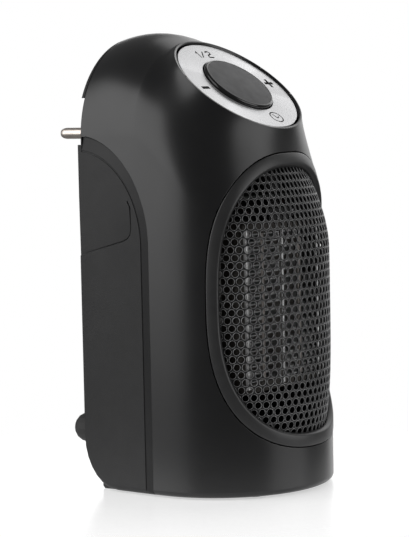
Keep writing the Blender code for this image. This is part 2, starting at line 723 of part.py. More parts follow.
# ==================================================================================================
# control ring stack, heights along the tilted axis
# ==================================================================================================
def make_controls(finishes):
    face = RING_FACE
    low = face - RING_T
    ring = [(RING_RADIUS - 0.3, face), (RING_RADIUS, face - 0.3), (RING_RADIUS, low),
            (RING_HOLE, low), (RING_HOLE, face - 0.3), (RING_HOLE + 0.3, face)]
    pivot = ring_place(0, 0, face - 2.4)
    key_ring = new_object("control_ring", *turned(ring, ring_place, 48), finishes["silver"], pivot)
    pegs = []
    for turn in range(4):
        a, b = KEY_REACH * math.cos(math.pi / 2 * turn), KEY_REACH * math.sin(math.pi / 2 * turn)
        profile = [(1.6, low + 0.3), (1.6, face - 2.9), (1.2, face - 3.1)]
        pegs.append(turned_solid(profile, lambda p, q, h, a=a, b=b: ring_place(a + p, b + q, h), 12))
    boolean(key_ring, new_object("add_pegs", *join(pegs)), "UNION")

    carrier = [(24.5, face - 2.0), (24.5, face - 3.2), (20.3, face - 3.2), (20.3, face - 2.0)]
    new_object("ring_carrier", *turned(carrier, ring_place, 32), finishes["black"], pivot)

    top = face + CAP_RISE
    cap = [(CAP_RADIUS - 3.4, top - 0.1), (CAP_RADIUS - 2.4, top), (CAP_RADIUS - 0.8, top - 0.6),
           (CAP_RADIUS, top - 1.7), (CAP_RADIUS, face - 1.4), (14.0, face - 1.4), (14.0, face - 5.1)]
    new_object("display_lens", *turned_solid(cap, ring_place, 40), finishes["lens"])

    board_top = face - 5.45
    board = [(33.6, board_top), (33.6, board_top - 1.2)]
    new_object("key_board", *turned_solid(board, ring_place, 40), finishes["board"])
    switches = []
    for turn in range(4):
        a, b = KEY_REACH * math.cos(math.pi / 2 * turn), KEY_REACH * math.sin(math.pi / 2 * turn)
        profile = [(1.5, face - 4.0), (1.5, face - 4.4), (2.9, face - 4.4), (2.9, board_top + GAP)]
        switches.append(turned_solid(profile, lambda p, q, h, a=a, b=b: ring_place(a + p, b + q, h), 12))
    new_set("key_switch", switches, finishes["steel"])

    seat = [(35.05, face - 2.6), (35.05, face - 8.4), (6.0, face - 8.4), (6.0, face - 7.0),
            (34.0, face - 7.0), (34.0, face - 2.6)]
    new_object("ring_seat", *turned(seat, ring_place, 36), finishes["black"])


# ==================================================================================================
# plug
# ==================================================================================================
def make_plug(finishes):
    pivot = (0, BACK_Y, PLUG_Z)
    face, hub_back = TURNTABLE_FACE_Y, BACK_Y - BACK_WALL - 2.6
    flange_back = BACK_Y - BACK_WALL + 0.2
    profile = [(PLUG_RADIUS - 1.5, PLUG_FACE_Y), (PLUG_RADIUS, PLUG_FACE_Y - 1.5), (PLUG_RADIUS, face),
               (TURNTABLE_RADIUS - 0.6, face), (TURNTABLE_RADIUS, face - 0.6),
               (TURNTABLE_RADIUS, flange_back), (HUB_BORE_RADIUS - 0.4, flange_back),
               (HUB_BORE_RADIUS - 0.4, hub_back)]
    plug = new_object("plug_turntable", *turned_solid(profile, along_y(0, PLUG_Z), 44),
                      finishes["matte"], pivot)
    pin_holes = [rod(x, hub_back - 5, PLUG_Z, PIN_RADIUS + GAP, 60) for x in (-PIN_HALF_PITCH, PIN_HALF_PITCH)]
    boolean(plug, new_object("cut_pins", *join(pin_holes)))
    keys = []
    for side in (-1, 1):
        z0, z1 = sorted((PLUG_Z + side * (PLUG_RADIUS - 2.4), PLUG_Z + side * (PLUG_RADIUS + 4)))
        keys.append(box(-3.2, 3.2, face + 4, PLUG_FACE_Y + 5, z0, z1))
    boolean(plug, new_object("cut_keyways", *join(keys)))

    pins = []
    for x in (-PIN_HALF_PITCH, PIN_HALF_PITCH):
        tip = PLUG_FACE_Y + PIN_LENGTH
        profile = [(0.7, tip), (1.5, tip - 0.5), (PIN_RADIUS, tip - 2.6), (PIN_RADIUS, 35.6), (1.6, 35.2)]
        pins.append(turned_solid(profile, along_y(x, PLUG_Z), 16))
    new_set("plug_pin", pins, finishes["nickel"], pivot)

    retainer = [(34.5, hub_back - GAP), (34.5, hub_back - 2.2), (16.0, hub_back - 2.2), (16.0, hub_back - GAP)]
    new_object("turntable_retainer", *turned(retainer, along_y(0, PLUG_Z), 40), finishes["black"], pivot)

    plate_front, plate_back = BACK_Y - BACK_WALL - 0.35, BACK_Y - BACK_WALL - 1.95
    outline = arch_outline(1.6, PLATE_LOW_Z)
    plate = new_object("turntable_plate", *prism(outline, plate_back, plate_front), finishes["black"])
    hole = rod(0, plate_back - 4, PLUG_Z, HUB_BORE_RADIUS, 12, count=40)
    boolean(plate, new_object("cut_plate", *hole))

    springs = []
    for x in (-PIN_HALF_PITCH, PIN_HALF_PITCH):
        side = math.copysign(1.0, x)
        x0, x1 = sorted((x + side * 0.2, x + side * 4.0))
        springs.append(box(x0, x1, 31.0, 34.8, PLUG_Z - 2.5, PLUG_Z + 2.5))
    new_set("contact_block", springs, finishes["brass"])


# ==================================================================================================
# air path
# ==================================================================================================
def make_heater(finishes):
    gap, plates = 0.4, 20
    stone = 2.4
    column = (2 * PTC_HALF_X - 3 * stone - 8 * gap) / 4
    low, high = PTC_LOW_Z + 4.5, PTC_HIGH_Z - 4.5
    stones, fins = [], []
    x = -PTC_HALF_X + gap
    for index in range(4):
        fins.append(corrugated(x, x + column, low, high, plates))
        x += column + gap
        if index < 3:
            stones.append(box(x, x + stone, PTC_FRONT_Y + 0.8, PTC_BACK_Y - 0.8, low, high))
            x += stone + gap
    new_set("ptc_fins", fins, finishes["aluminium"])
    new_set("ptc_stone", stones, finishes["ceramic"])

    side, cap = PTC_HALF_X + PTC_SIDE, 4.1
    outer = [(-side, PTC_LOW_Z), (side, PTC_LOW_Z), (side, PTC_HIGH_Z), (-side, PTC_HIGH_Z)]
    frame = new_object("ptc_frame", *prism(outer, PTC_FRONT_Y, PTC_BACK_Y), finishes["brown"])
    window = box(-PTC_HALF_X, PTC_HALF_X, PTC_FRONT_Y - 5, PTC_BACK_Y + 5, PTC_LOW_Z + cap, PTC_HIGH_Z - cap)
    boolean(frame, new_object("cut_ptc", *window))

    new_object("thermal_cutout", *box(-9, 9, -31, -23, PTC_HIGH_Z + GAP, PTC_HIGH_Z + 6), finishes["black"])
    fuse = rod(10.2, -27, PTC_HIGH_Z + 3.2, 2.0, 6.8, "X", 12)
    new_object("thermal_fuse", *fuse, finishes["steel"])


def corrugated(x0, x1, low, high, plates):
    """Aluminium strip folded to and fro, seen from the front; plates is an even number."""
    thick = 0.5
    step = (high - low - thick) / (plates - 1)
    level = [low + thick / 2 + step * k for k in range(plates)]
    left, right = [(x0, low)], [(x1, low)]
    for k in range(0, plates, 2):
        z0, z1 = level[k] + thick / 2, level[k + 1] - thick / 2
        left += [(x0, z0), (x1 - thick, z0), (x1 - thick, z1), (x0, z1)]
    for k in range(1, plates - 1, 2):
        z0, z1 = level[k] + thick / 2, level[k + 1] - thick / 2
        right += [(x1, z0), (x0 + thick, z0), (x0 + thick, z1), (x1, z1)]
    outline = left + [(x0, high), (x1, high)] + right[::-1]
    return prism(outline, PTC_FRONT_Y + 0.8, PTC_BACK_Y - 0.8)


def make_fan(finishes):
    pivot = (0, 0, FAN_Z)
    hub = [(HUB_RADIUS - 1.5, -13.0), (HUB_RADIUS, -11.5), (HUB_RADIUS, 0.0), (SHAFT_RADIUS + GAP, 0.0),
           (SHAFT_RADIUS + GAP, -13.0)]
    fan = new_object("fan_impeller", *turned(hub, along_y(0, FAN_Z), 28), finishes["white"], pivot)
    blades = [fan_blade(2 * math.pi * index / BLADES) for index in range(BLADES)]
    boolean(fan, new_object("add_blades", *join(blades), pivot=pivot, triangles=True), "UNION")
    shaft = rod(0, -12.4, FAN_Z, SHAFT_RADIUS, 42.0)
    new_object("motor_shaft", *shaft, finishes["steel"], pivot)

    can = [(MOTOR_RADIUS - 1, 8.0), (MOTOR_RADIUS, 9.0), (MOTOR_RADIUS, 27.0), (MOTOR_RADIUS - 1, 28.0),
           (SHAFT_RADIUS + GAP, 28.0), (SHAFT_RADIUS + GAP, 4.4), (4.0, 4.4), (4.0, 8.0)]
    new_object("fan_motor", *turned(can, along_y(0, FAN_Z), 28), finishes["steel"])

    duct = [(DUCT_RADIUS + 2.0, -16.0), (DUCT_RADIUS + 2.0, 13.0), (DUCT_RADIUS, 13.0), (DUCT_RADIUS, -16.0)]
    shroud = new_object("fan_shroud", *turned(duct, along_y(0, FAN_Z), 36), finishes["black"])
    arms = []
    for index in range(3):
        angle = math.pi / 2 + 2 * math.pi * index / 3
        arms.append(turned_bar(angle, MOTOR_RADIUS + 1.4, DUCT_RADIUS + 1.0, 3.0, 9.6, 12.6))
    boolean(shroud, new_object("add_arms", *join(arms)), "UNION")
    collar = [(MOTOR_RADIUS + 2.4, 9.4), (MOTOR_RADIUS + 2.4, 17.0), (MOTOR_RADIUS + GAP, 17.0),
              (MOTOR_RADIUS + GAP, 9.4)]
    boolean(shroud, new_object("add_motor_collar", *turned(collar, along_y(0, FAN_Z), 28)), "UNION")
    ears = []
    for side in (-1, 1):
        for z in (FAN_Z - 28, FAN_Z + 28):
            x0, x1 = sorted((side * 29.0, side * 37.0))
            ears.append(box(x0, x1, -15.6, -12.6, z - 4, z + 4))
    boolean(shroud, new_object("add_ears", *join(ears)), "UNION")


def fan_blade(angle):
    """Twisted blade from inside the hub to its tip, thicker in the middle of its chord."""
    stations = ((HUB_RADIUS - 1.0, 42.0), (HUB_RADIUS + 8.0, 34.0), (FAN_RADIUS - 8.0, 27.0), (FAN_RADIUS, 23.0))
    points = []
    for radius, pitch in stations:
        lean = math.radians(pitch)
        for chord, thick in ((-0.5, -0.3), (0.5, -0.3), (0.5, 0.3), (-0.5, 0.3)):
            span = 6.8 + 0.32 * radius
            turn = angle + (chord * span * math.cos(lean) - thick * 2.4 * math.sin(lean)) / radius
            y = -6.5 + chord * span * math.sin(lean) * 0.9 + thick * 2.4 * math.cos(lean)
            points.append((radius * math.cos(turn), y, FAN_Z + radius * math.sin(turn)))
    faces = [(0, 1, 2, 3), (12, 13, 14, 15)]
    for k in range(3):
        for i in range(4):
            a, b = 4 * k + i, 4 * k + (i + 1) % 4
            faces.append((a, b, b + 4, a + 4))
    return points, faces


def turned_bar(angle, inner, outer, half, y0, y1):
    """Radial bar about the fan axis."""
    c, s = math.cos(angle), math.sin(angle)
    corners = [(inner, -half), (outer, -half), (outer, half), (inner, half)]
    return prism([(r * c - t * s, FAN_Z + r * s + t * c) for r, t in corners], y0, y1)


# ==================================================================================================
# electrics
# ==================================================================================================
def make_electrics(finishes):
    board_z = 131.0
    board = box(-30, 30, -22, 28, board_z, board_z + 1.6)
    new_object("power_board", *board, finishes["board"])
    top = board_z + 1.6 + GAP
    new_object("heater_relay", *box(-26, -11, -16, 12, top, top + 13), finishes["black"])
    new_object("board_transformer", *box(-6, 12, 6, 24, top, top + 11), finishes["green"])
    new_object("smoothing_capacitor", *rod(20, -12, top, 6.5, 12, "Z", 20), finishes["black"])
    new_object("filter_capacitor", *rod(22, 10, top, 4.0, 11, "Z", 16), finishes["black"])
    new_object("mains_terminals", *box(-26, -12, 17, 26, top, top + 9), finishes["green"])

    room_sensor = rod(34.0, 30.0, 30.0, 1.8, 7.0, "Z", 12)
    new_object("room_sensor", *room_sensor, finishes["black"])

    wires = []
    for side, end_x in ((-1, -22.0), (1, -16.0)):
        x = side * (PIN_HALF_PITCH + 2.0)
        start = Vector((x, 30.2, PLUG_Z - 0.5))
        route = [start, start + Vector((0, -3, -1)), Vector((x * 0.6 - 8, 25, 152)), Vector((end_x, 22.5, 148)),
                 Vector((end_x, 21.5, top + 9.4 + GAP))]
        wires.append(tube_path(rounded(route), 1.0))
    new_set("mains_wire", wires, finishes["wire"])

    leads = []
    for x in (-19.0, 19.0):
        route = [Vector((x, -27.0, PTC_HIGH_Z + 0.4)), Vector((x, -25.6, PTC_HIGH_Z + 4)),
                 Vector((x, -21.6, board_z - 3)), Vector((x, -19.0, board_z - 1.6))]
        leads.append(tube_path(rounded(route), 0.9))
    new_set("heater_lead", leads, finishes["wire"])


def rounded(route, steps=4):
    """Smooth curve through the points of a route."""
    way = []
    last = len(route) - 1
    for i in range(last):
        before, here = route[max(i - 1, 0)], route[i]
        there, after = route[i + 1], route[min(i + 2, last)]
        for step in range(steps):
            t = step / steps
            way.append(0.5 * ((2 * here) + (there - before) * t
                              + (2 * before - 5 * here + 4 * there - after) * t * t
                              + (3 * here - before - 3 * there + after) * t ** 3))
    way.append(route[-1])
    return way


# ==================================================================================================
# power switch on the +X side
# ==================================================================================================
def rocker_place(u, v, w):
    """Switch frame: u forwards along the wall, v up, w out of the wall."""
    slope = math.atan((half_width(ROCKER_Y - 1) - half_width(ROCKER_Y + 1)) / 2)
    c, s = math.cos(slope), math.sin(slope)
    return (half_width(ROCKER_Y) + w * c + u * s, ROCKER_Y + w * s - u * c, ROCKER_Z + v)


def make_switch(finishes):
    def placed(solid):
        return [rocker_place(*p) for p in solid[0]], solid[1]
    rim = 1.65
    bezel = new_object("switch_bezel", *placed(box(-ROCKER_HALF_U - rim, ROCKER_HALF_U + rim, -ROCKER_HALF_V - rim,
                                                   ROCKER_HALF_V + rim, -8.0, 0.9)), finishes["black"])
    well = placed(box(-ROCKER_HALF_U, ROCKER_HALF_U, -ROCKER_HALF_V, ROCKER_HALF_V, -6.6, 9.0))
    boolean(bezel, new_object("cut_bezel", *well))
    reach = ROCKER_HALF_V - 0.5
    lean = math.radians(ROCKER_LEAN)
    outline = []
    profile = [(-reach, -1.6), (-reach, 0.9), (0.0, -0.3), (reach, 0.9), (reach, -1.6), (3.4, -3.4), (-3.4, -3.4)]
    for v, w in profile:
        outline.append((v * math.cos(lean) - w * math.sin(lean), v * math.sin(lean) + w * math.cos(lean)))
    paddle = prism(outline, -ROCKER_HALF_U + GAP, ROCKER_HALF_U - GAP, "X")
    new_object("power_rocker", *placed(paddle), finishes["rocker"], rocker_place(0, 0, 0))


# ==================================================================================================
# feet and wall bumpers
# ==================================================================================================
def make_feet(rubber):
    feet = []
    for x, y in FRONT_FEET:
        profile = [(FOOT_RADIUS, 1.65), (FOOT_RADIUS, 0.4), (FOOT_RADIUS - 0.4, 0.0)]
        feet.append(turned_solid(profile, along_z(x, y), 20))
    heel, toe = 31.0, 40.5
    outline = [(heel, 0.0), (toe - 1.0, 0.0), (toe, 1.2)]
    steps = 5
    for step in range(steps + 1):
        y = toe - (toe - heel) * step / steps
        outline.append((y, underside_z(y) - GAP - 0.1))
    for side in (-1, 1):
        x0, x1 = sorted((side * 30.0, side * 42.0))
        feet.append(prism(outline, x0, x1, "X"))
    new_set("rubber_foot", feet, rubber)


def make_bumpers(rubber):
    bumpers = []
    for x in (-BUMPER_X, BUMPER_X):
        profile = []
        base, dome = BACK_Y + GAP, BUMPER_RADIUS - 1.0
        start = BACK_Y + BUMPER_RISE - dome
        for step in range(6):
            angle = math.pi / 2 * (0.12 + 0.88 * step / 5)
            profile.append((BUMPER_RADIUS * math.sin(angle), start + dome * math.cos(angle)))
        profile += [(BUMPER_RADIUS, base + 1.0), (BUMPER_RADIUS - 1.0, base)]
        bumpers.append(turned_solid(profile, along_y(x, BUMPER_Z), 16))
    new_set("wall_bumper", bumpers, rubber)


# ==================================================================================================
def main():
    clear_scene()
    finishes = {
        "gloss": material("gloss_black", (0.012, 0.012, 0.013), 0.22),
        "matte": material("matte_black", (0.028, 0.028, 0.029), 0.55),
        "grey": material("dark_grey", (0.045, 0.045, 0.047), 0.45),
        "grille": material("grille_metal", (0.07, 0.07, 0.072), 0.4, 0.6),
        "silver": material("silver_ring", (0.75, 0.75, 0.76), 0.28, 1.0),
        "lens": material("display_black", (0.02, 0.02, 0.021), 0.35),
        "black": material("inner_black", (0.02, 0.02, 0.02), 0.6),
        "nickel": material("nickel", (0.72, 0.7, 0.66), 0.25, 1.0),
        "brass": material("brass", (0.75, 0.55, 0.25), 0.35, 1.0),
        "steel": material("zinc_steel", (0.6, 0.6, 0.62), 0.35, 1.0),
        "aluminium": material("aluminium", (0.8, 0.8, 0.8), 0.4, 1.0),
        "ceramic": material("ptc_ceramic", (0.35, 0.32, 0.3), 0.6),
        "brown": material("heat_plastic", (0.05, 0.045, 0.04), 0.6),
        "board": material("board_green", (0.03, 0.12, 0.06), 0.5),
        "green": material("terminal_green", (0.05, 0.3, 0.12), 0.5),
        "white": material("fan_white", (0.6, 0.6, 0.58), 0.5),
        "wire": material("wire_insulation", (0.5, 0.08, 0.05), 0.5),
        "rocker": material("rocker_black", (0.02, 0.02, 0.02), 0.3),
        "rubber": material("rubber", (0.015, 0.015, 0.015), 0.7),
    }
    make_housing(finishes["gloss"], finishes["matte"])
    make_screws(finishes["steel"])
    make_grille_frame(finishes["grey"])
    make_grille(finishes["grille"])
    make_controls(finishes)
    make_plug(finishes)
    make_heater(finishes)
    make_fan(finishes)
    make_electrics(finishes)
    make_switch(finishes)
    make_feet(finishes["rubber"])
    make_bumpers(finishes["rubber"])


main()
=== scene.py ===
"""Plug-in ceramic fan heater: finished shells, grille and controls, materials, studio and camera.

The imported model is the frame. Lengths in the shape functions are in millimetres in the body's own axes
(front grille towards -Y, plug towards +Y, Z up); to_world() turns them into metres.
"""

import math

import bmesh
import bpy
import numpy as np
from mathutils import Matrix, Vector
from mathutils.bvhtree import BVHTree
from mathutils.geometry import barycentric_transform


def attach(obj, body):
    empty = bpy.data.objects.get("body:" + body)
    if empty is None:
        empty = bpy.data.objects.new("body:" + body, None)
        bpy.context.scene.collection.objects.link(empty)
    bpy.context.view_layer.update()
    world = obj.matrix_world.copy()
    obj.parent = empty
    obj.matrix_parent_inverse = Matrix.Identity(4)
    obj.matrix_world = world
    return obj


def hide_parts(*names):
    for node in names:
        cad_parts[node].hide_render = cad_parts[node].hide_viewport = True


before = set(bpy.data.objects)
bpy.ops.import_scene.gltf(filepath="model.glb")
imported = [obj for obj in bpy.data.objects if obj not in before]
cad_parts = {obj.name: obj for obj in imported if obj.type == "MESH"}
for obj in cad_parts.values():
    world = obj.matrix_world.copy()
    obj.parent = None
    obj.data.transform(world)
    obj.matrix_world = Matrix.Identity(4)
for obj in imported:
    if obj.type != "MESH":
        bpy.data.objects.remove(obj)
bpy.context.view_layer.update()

MM = 0.001

# between neighbouring parts
GAP = 0.35

# how far cutters reach: past a surface, outside a side wall, and across the whole housing
CUT_PAST = 9.0
CUT_OUT = 6.0
CUT_ACROSS = 80.0

# ---- housing -------------------------------------------------------------------------------------
HALF_WIDTH = 50.6
FRONT_REACH = 48.8
REAR_HALF_WIDTH = 47.0
BACK_Y = 46.4
SHELL_BACK_Y = 44.6
RIDGE_Z = (205.4, 207.3)
WALL = 2.6
BACK_WALL = 3.9
FLOOR_Z = 0.8
COLLAR_CLEARANCE, COLLAR_LOW_Z = 0.9, 150.0
EDGE_ROUND = 2.8
EDGE_ROWS = 6
ARCH_Z = 160.0
ROUND_SHARE = 0.5523
WALL_TOP_Z = (160.0, 151.6, 132.7, 112.5, 100.0)
WALL_PULL = (25.35, 21.2, 20.3, 18.5, 16.5)
WALL_PULL_SLOPE = -39.7
RIM_PULL = (27.3, 18.7, 15.4, 13.4, 12.1)
RIM_PULL_SLOPE = -61.1
DROOP_DEGREES = (0.0, 40.0, 76.0, 89.0, 93.0)
DROOP_SLOPE = 123.0
TUCK_Y = 29.0
TUCK_RISE = 21.0
SKIN_COLUMNS, SKIN_BACK_COLUMNS = 72, 10
SKIN_WALL_ROWS, SKIN_SHOULDER_ROWS = 8, 32

# ---- control ring --------------------------------------------------------------------------------
# an oval: radii are those across the body, and OVAL shortens them along the slope
OVAL = 0.847
RING_CENTRE = Vector((0.0, -10.14, 182.39))
RING_TILT = math.radians(39.9)
RIM_RADIUS = 37.3
RIM_RISE = 0.6
RING_FACE = 0.0
RING_RADIUS = 35.0
RING_HOLE = 20.4
RING_T = 1.2
CAP_RADIUS = 19.9
CAP_RISE = 1.6
VISIBLE_BORE, BORE_DEPTH = 36.2, 13.0
BEAD_RADIUS, BEAD_LEVEL, BEAD_ROUND = 36.95, 0.0, 0.5
CLOCK_A, CLOCK_B = 4.1, 3.2

# share of a full turn from -X and brightness there: two duller sectors left and right, painted reflection
# shade of the brushed ring's highlight
RING_SECTOR_SHADE = ((0.0, 0.84), (0.085, 0.86), (0.1, 1.0), (0.44, 1.0), (0.455, 0.8), (0.56, 0.84), (0.575, 1.0),
                (0.92, 1.0), (0.935, 0.84))

# ---- front opening -------------------------------------------------------------------------------
OPENING_HALF_ARC = 57.4
OPENING_HALF_HEIGHT = 65.6
OPENING_Z = 86.2
FRAME_WIDTH = 6.0
OPENING_POWER = 2.8
OPENING_LOW_POWER = 2.55
FRAME_PROUD = 0.25
FRAME_BACK = -2.4
GRILLE_T = 0.8
GRILLE_SETBACK = 2.8
GRILLE_BOW = 2.5
BOW_POWER = 5
BOW_START = 0.93
SHEET_INSET = 2.0
OPENING_CLEARANCE = 0.5
OUTLINE_STEPS = 144
HOLE_PITCH, HOLE_RADIUS, HOLE_SIDES = 3.98, 1.56, 12
TABLE_STEP, TABLE_MARGIN, HALVINGS = 1.6, 5.0, 24

# ---- seam, plug, fasteners, vents ----------------------------------------------------------------
SEAM_Y = 6.6
SEAM_TOP_Y = BACK_Y + 0.6
SEAM_LOW_Z, SEAM_HIGH_Z = -20.0, 240.0
SEAM_CENTRE_Z = 112.0
SEAM_RADIUS_Z = 49.0
GROOVE_IN, GROOVE_WIDTH, GROOVE_DEPTH = 3.6, 0.45, 0.3
GROOVE_WIDEN = 1.75
BAND_DEPTH = 0.95
GRIP_OUTLINE = ((17.7, 132.0), (16.2, 129.0), (16.0, 120.0), (16.6, 117.0), (18.4, 115.0), (21.0, 113.9))
GRIP_FRONT_Y = 16.05
GRIP_TAIL = (BACK_Y + 6, 105.6)
GRIP_DEPTH = 0.45
GRIP_LINE_WIDTH, GRIP_LINE_DEPTH = 0.5, 0.85
PLUG_Z = 161.6
TURNTABLE_RADIUS = 39.0
PLUG_FACE_Y = 64.6
PIN_LENGTH, PIN_RADIUS, PIN_HALF_PITCH = 19.2, 2.65, 9.5
EARTH_CLIP_REACH = 15.6
SCREW_X = 38.9
SCREW_HEIGHTS = (44.0, 116.0)
HEAD_RADIUS = 2.8
SHANK_RADIUS = 1.5
HEAD_SINK = 2.2
FRONT_FEET = ((-25.0, -30.0), (25.0, -30.0))
FOOT_RADIUS = 5.0
VENT_ROWS, VENT_LOW_Z, VENT_PITCH, VENT_HEIGHT = 12, 50.0, 6.0, 2.8
VENT_MIDDLE, VENT_HALF_WIDTH = 1.6, 29.0
NOTCH_LOW_Z, NOTCH_HIGH_Z = 157.0, 178.0
ROCKER_Y, ROCKER_Z = 35.0, 72.0
ROCKER_HALF_U, ROCKER_HALF_V = 5.2, 8.6
BEZEL_RIM = 2.0

# ---- heating block -------------------------------------------------------------------------------
PTC_HALF_X = 30.2
PTC_LOW_Z, PTC_HIGH_Z = 46.0, 121.0
PTC_FRONT_Y = -32.0

# ---- studio --------------------------------------------------------------------------------------
WORLD_LIGHT = 0.17
FLOOR_RADII, FLOOR_SIDES = (0.02, 0.1, 0.2, 0.4, 0.7), 96
FLOOR_GLOW = 0.5
FLOOR_FADE = (0.07, 0.17)
LIGHT_DISTANCE = 1.5
CAMERA_PLACE = (-0.80093, -0.541185, 0.17578)
CAMERA_HEADING, CAMERA_DIP, CAMERA_ROLL = 56.3, 4.6, 1.19
CAMERA_LENS = 139.91

ORIGIN_Y = -(PLUG_FACE_Y + PIN_LENGTH - FRONT_REACH - FRAME_PROUD) / 2


# ---- mesh helpers --------------------------------------------------------------------------------
def to_world(point):
    return Vector((point[0], point[1] + ORIGIN_Y, point[2])) * MM


def new_piece(name, points, faces, smooth_angle=35.0, place=to_world, triangles=False):
    """One closed mesh object, facing outwards."""
    mesh = bpy.data.meshes.new(name)
    mesh.from_pydata([place(p) for p in points], [], [tuple(f) for f in faces])
    work = bmesh.new()
    work.from_mesh(mesh)
    bmesh.ops.triangulate(work, faces=[f for f in work.faces if triangles or len(f.verts) > 4])
    bmesh.ops.recalc_face_normals(work, faces=work.faces)
    if work.calc_volume(signed=True) < 0:
        bmesh.ops.reverse_faces(work, faces=work.faces)
    work.to_mesh(mesh)
    work.free()
    mesh.shade_smooth()
    mesh.set_sharp_from_angle(angle=math.radians(smooth_angle))
    made = bpy.data.objects.new(name, mesh)
    bpy.context.scene.collection.objects.link(made)
    return made


def boolean(target, name, solid, operation="DIFFERENCE", finish=None, triangles=False):
    """Exact boolean with a solid (points, faces), applied at once. A finish is given to the new faces."""
    tool = new_piece(name, *solid, triangles=triangles)
    step = target.modifiers.new(name, "BOOLEAN")
    step.operation = operation
    step.solver = "EXACT"
    if finish is not None:
        tool.data.materials.append(finish)
        step.material_mode = "TRANSFER"
    step.object = tool
    graph = bpy.context.evaluated_depsgraph_get()
    result = bpy.data.meshes.new_from_object(target.evaluated_get(graph))
    target.modifiers.clear()
    target.data = result
    bpy.data.objects.remove(tool, do_unlink=True)


def join(parts):
    points, faces = [], []
    for part_points, part_faces in parts:
        start = len(points)
        points += part_points
        faces += [tuple(i + start for i in face) for face in part_faces]
    return points, faces


def prism(outline, low, high, axis="Y"):
    """Outline in the plane across the axis, as closed solid. X: (y, z), Y: (x, z), Z: (x, y)."""
    def at(pair, level):
        a, b = pair
        return {"X": (level, a, b), "Y": (a, level, b), "Z": (a, b, level)}[axis]
    count = len(outline)
    points = [at(pair, low) for pair in outline] + [at(pair, high) for pair in outline]
    faces = [tuple(range(count)), tuple(range(2 * count - 1, count - 1, -1))]
    faces += [(i, (i + 1) % count, count + (i + 1) % count, count + i) for i in range(count)]
    return points, faces


def box(x0, x1, y0, y1, z0, z1):
    return prism([(x0, z0), (x1, z0), (x1, z1), (x0, z1)], y0, y1)


def circle(radius, count, centre=(0.0, 0.0), start=0.0):
    steps = (start + 2 * math.pi * i / count for i in range(count))
    return [(centre[0] + radius * math.cos(a), centre[1] + radius * math.sin(a)) for a in steps]


def rod(x, y, z, radius, length, axis="Y", count=16):
    across = {"X": (y, z), "Y": (x, z), "Z": (x, y)}[axis]
    start = {"X": x, "Y": y, "Z": z}[axis]
    return prism(circle(radius, count, across), start, start + length, axis)


def tube_faces(count, size, closed=True):
    """Faces between count rows of size points, round to the first row.

    Each row's ends are joined when closed; otherwise its first and its last points are capped.
    """
    faces = []
    for i in range(count):
        for k in range(size if closed else size - 1):
            a, b = i * size + k, i * size + (k + 1) % size
            c, d = (i + 1) % count * size + (k + 1) % size, (i + 1) % count * size + k
            faces.append((a, b, c, d))
    if not closed:
        faces.append(tuple(i * size for i in range(count)))
        faces.append(tuple(i * size + size - 1 for i in reversed(range(count))))
    return faces


def bar_solid(lines, ring=False):
    """Solid along four lines of points, given in order round its section; as a ring it has no ends."""
    count = len(lines[0])
    points = [p for line in lines for p in line]
    faces = []
    for i in range(count if ring else count - 1):
        for k in range(4):
            a, b, after = k * count, (k + 1) % 4 * count, (i + 1) % count
            faces.append((a + i, a + after, b + after, b + i))
    if not ring:
        faces += [(0, count, 2 * count, 3 * count), (4 * count - 1, 3 * count - 1, 2 * count - 1, count - 1)]
    return points, faces


def turned(profile, place, count=32, closed=True):
    """(radius, height) profile turned about a local axis; an open profile is capped at both ends."""
    points = [place(r * c, r * s, h) for c, s in circle(1.0, count) for r, h in profile]
    return points, tube_faces(count, len(profile), closed)


def along_y(x, z):
    return lambda a, b, h: (x + a, h, z + b)


def fillet(r, h, radius, start, stop, steps=5):
    """Points of a round corner about the centre (r, h), angles in degrees."""
    angles = [math.radians(start + (stop - start) * k / steps) for k in range(steps + 1)]
    return [(r + radius * math.cos(a), h + radius * math.sin(a)) for a in angles]


# ---- housing surface -----------------------------------------------------------------------------
RING_UP = Vector((0.0, math.cos(RING_TILT), math.sin(RING_TILT)))
RING_NORMAL = Vector((0.0, -math.sin(RING_TILT), math.cos(RING_TILT)))


def ring_place(a, b, h):
    """Ring frame: a across, b uphill towards the back and shortened to the oval, h out of the face."""
    return tuple(RING_CENTRE + Vector((a, 0, 0)) + OVAL * b * RING_UP + h * RING_NORMAL)


def rim_point(turn):
    """Point on the housing rim; turn runs 0 to 1 from the back over the -X side to the front."""
    angle = math.pi / 2 + math.pi * turn
    across, uphill = RIM_RADIUS * math.cos(angle), RIM_RADIUS * math.sin(angle)
    return Vector(ring_place(across, uphill, RIM_RISE))


JUNCTION_Y = rim_point(0).y


def half_width(y):
    share = min(max((y - 2.0) / (BACK_Y - 2.0), 0.0), 1.0)
    return HALF_WIDTH - (HALF_WIDTH - REAR_HALF_WIDTH) * share ** 1.5


def plan_point(share):
    """Outline of the -X half seen from above, from the junction round to the front centre."""
    distance = share * (JUNCTION_Y + HALF_WIDTH * math.pi / 2)
    if distance < JUNCTION_Y:
        y = JUNCTION_Y - distance
        return -half_width(y), y
    angle = (distance - JUNCTION_Y) / HALF_WIDTH
    return -HALF_WIDTH * math.cos(angle), -FRONT_REACH * math.sin(angle)


def plan_share(turn):
    """Columns stand closer together where the housing turns from its side to its back."""
    return 0.35 * turn + 0.47 * turn ** 2 + 0.18 * turn ** 3


def eased(turn, values, start_slope):
    """Smooth curve through values at equal steps of turn from 0 to 1, with a given first slope."""
    last = len(values) - 1
    slopes = [start_slope / last]
    slopes += [(values[i + 1] - values[i - 1]) / 2 for i in range(1, last)]
    slopes.append((values[last] - values[last - 1]) / 2)
    i = min(int(turn * last), last - 1)
    t = turn * last - i
    held = (1 + 2 * t) * (1 - t) ** 2 * values[i] + t * t * (3 - 2 * t) * values[i + 1]
    return held + t * (1 - t) ** 2 * slopes[i] - t * t * (1 - t) * slopes[i + 1]


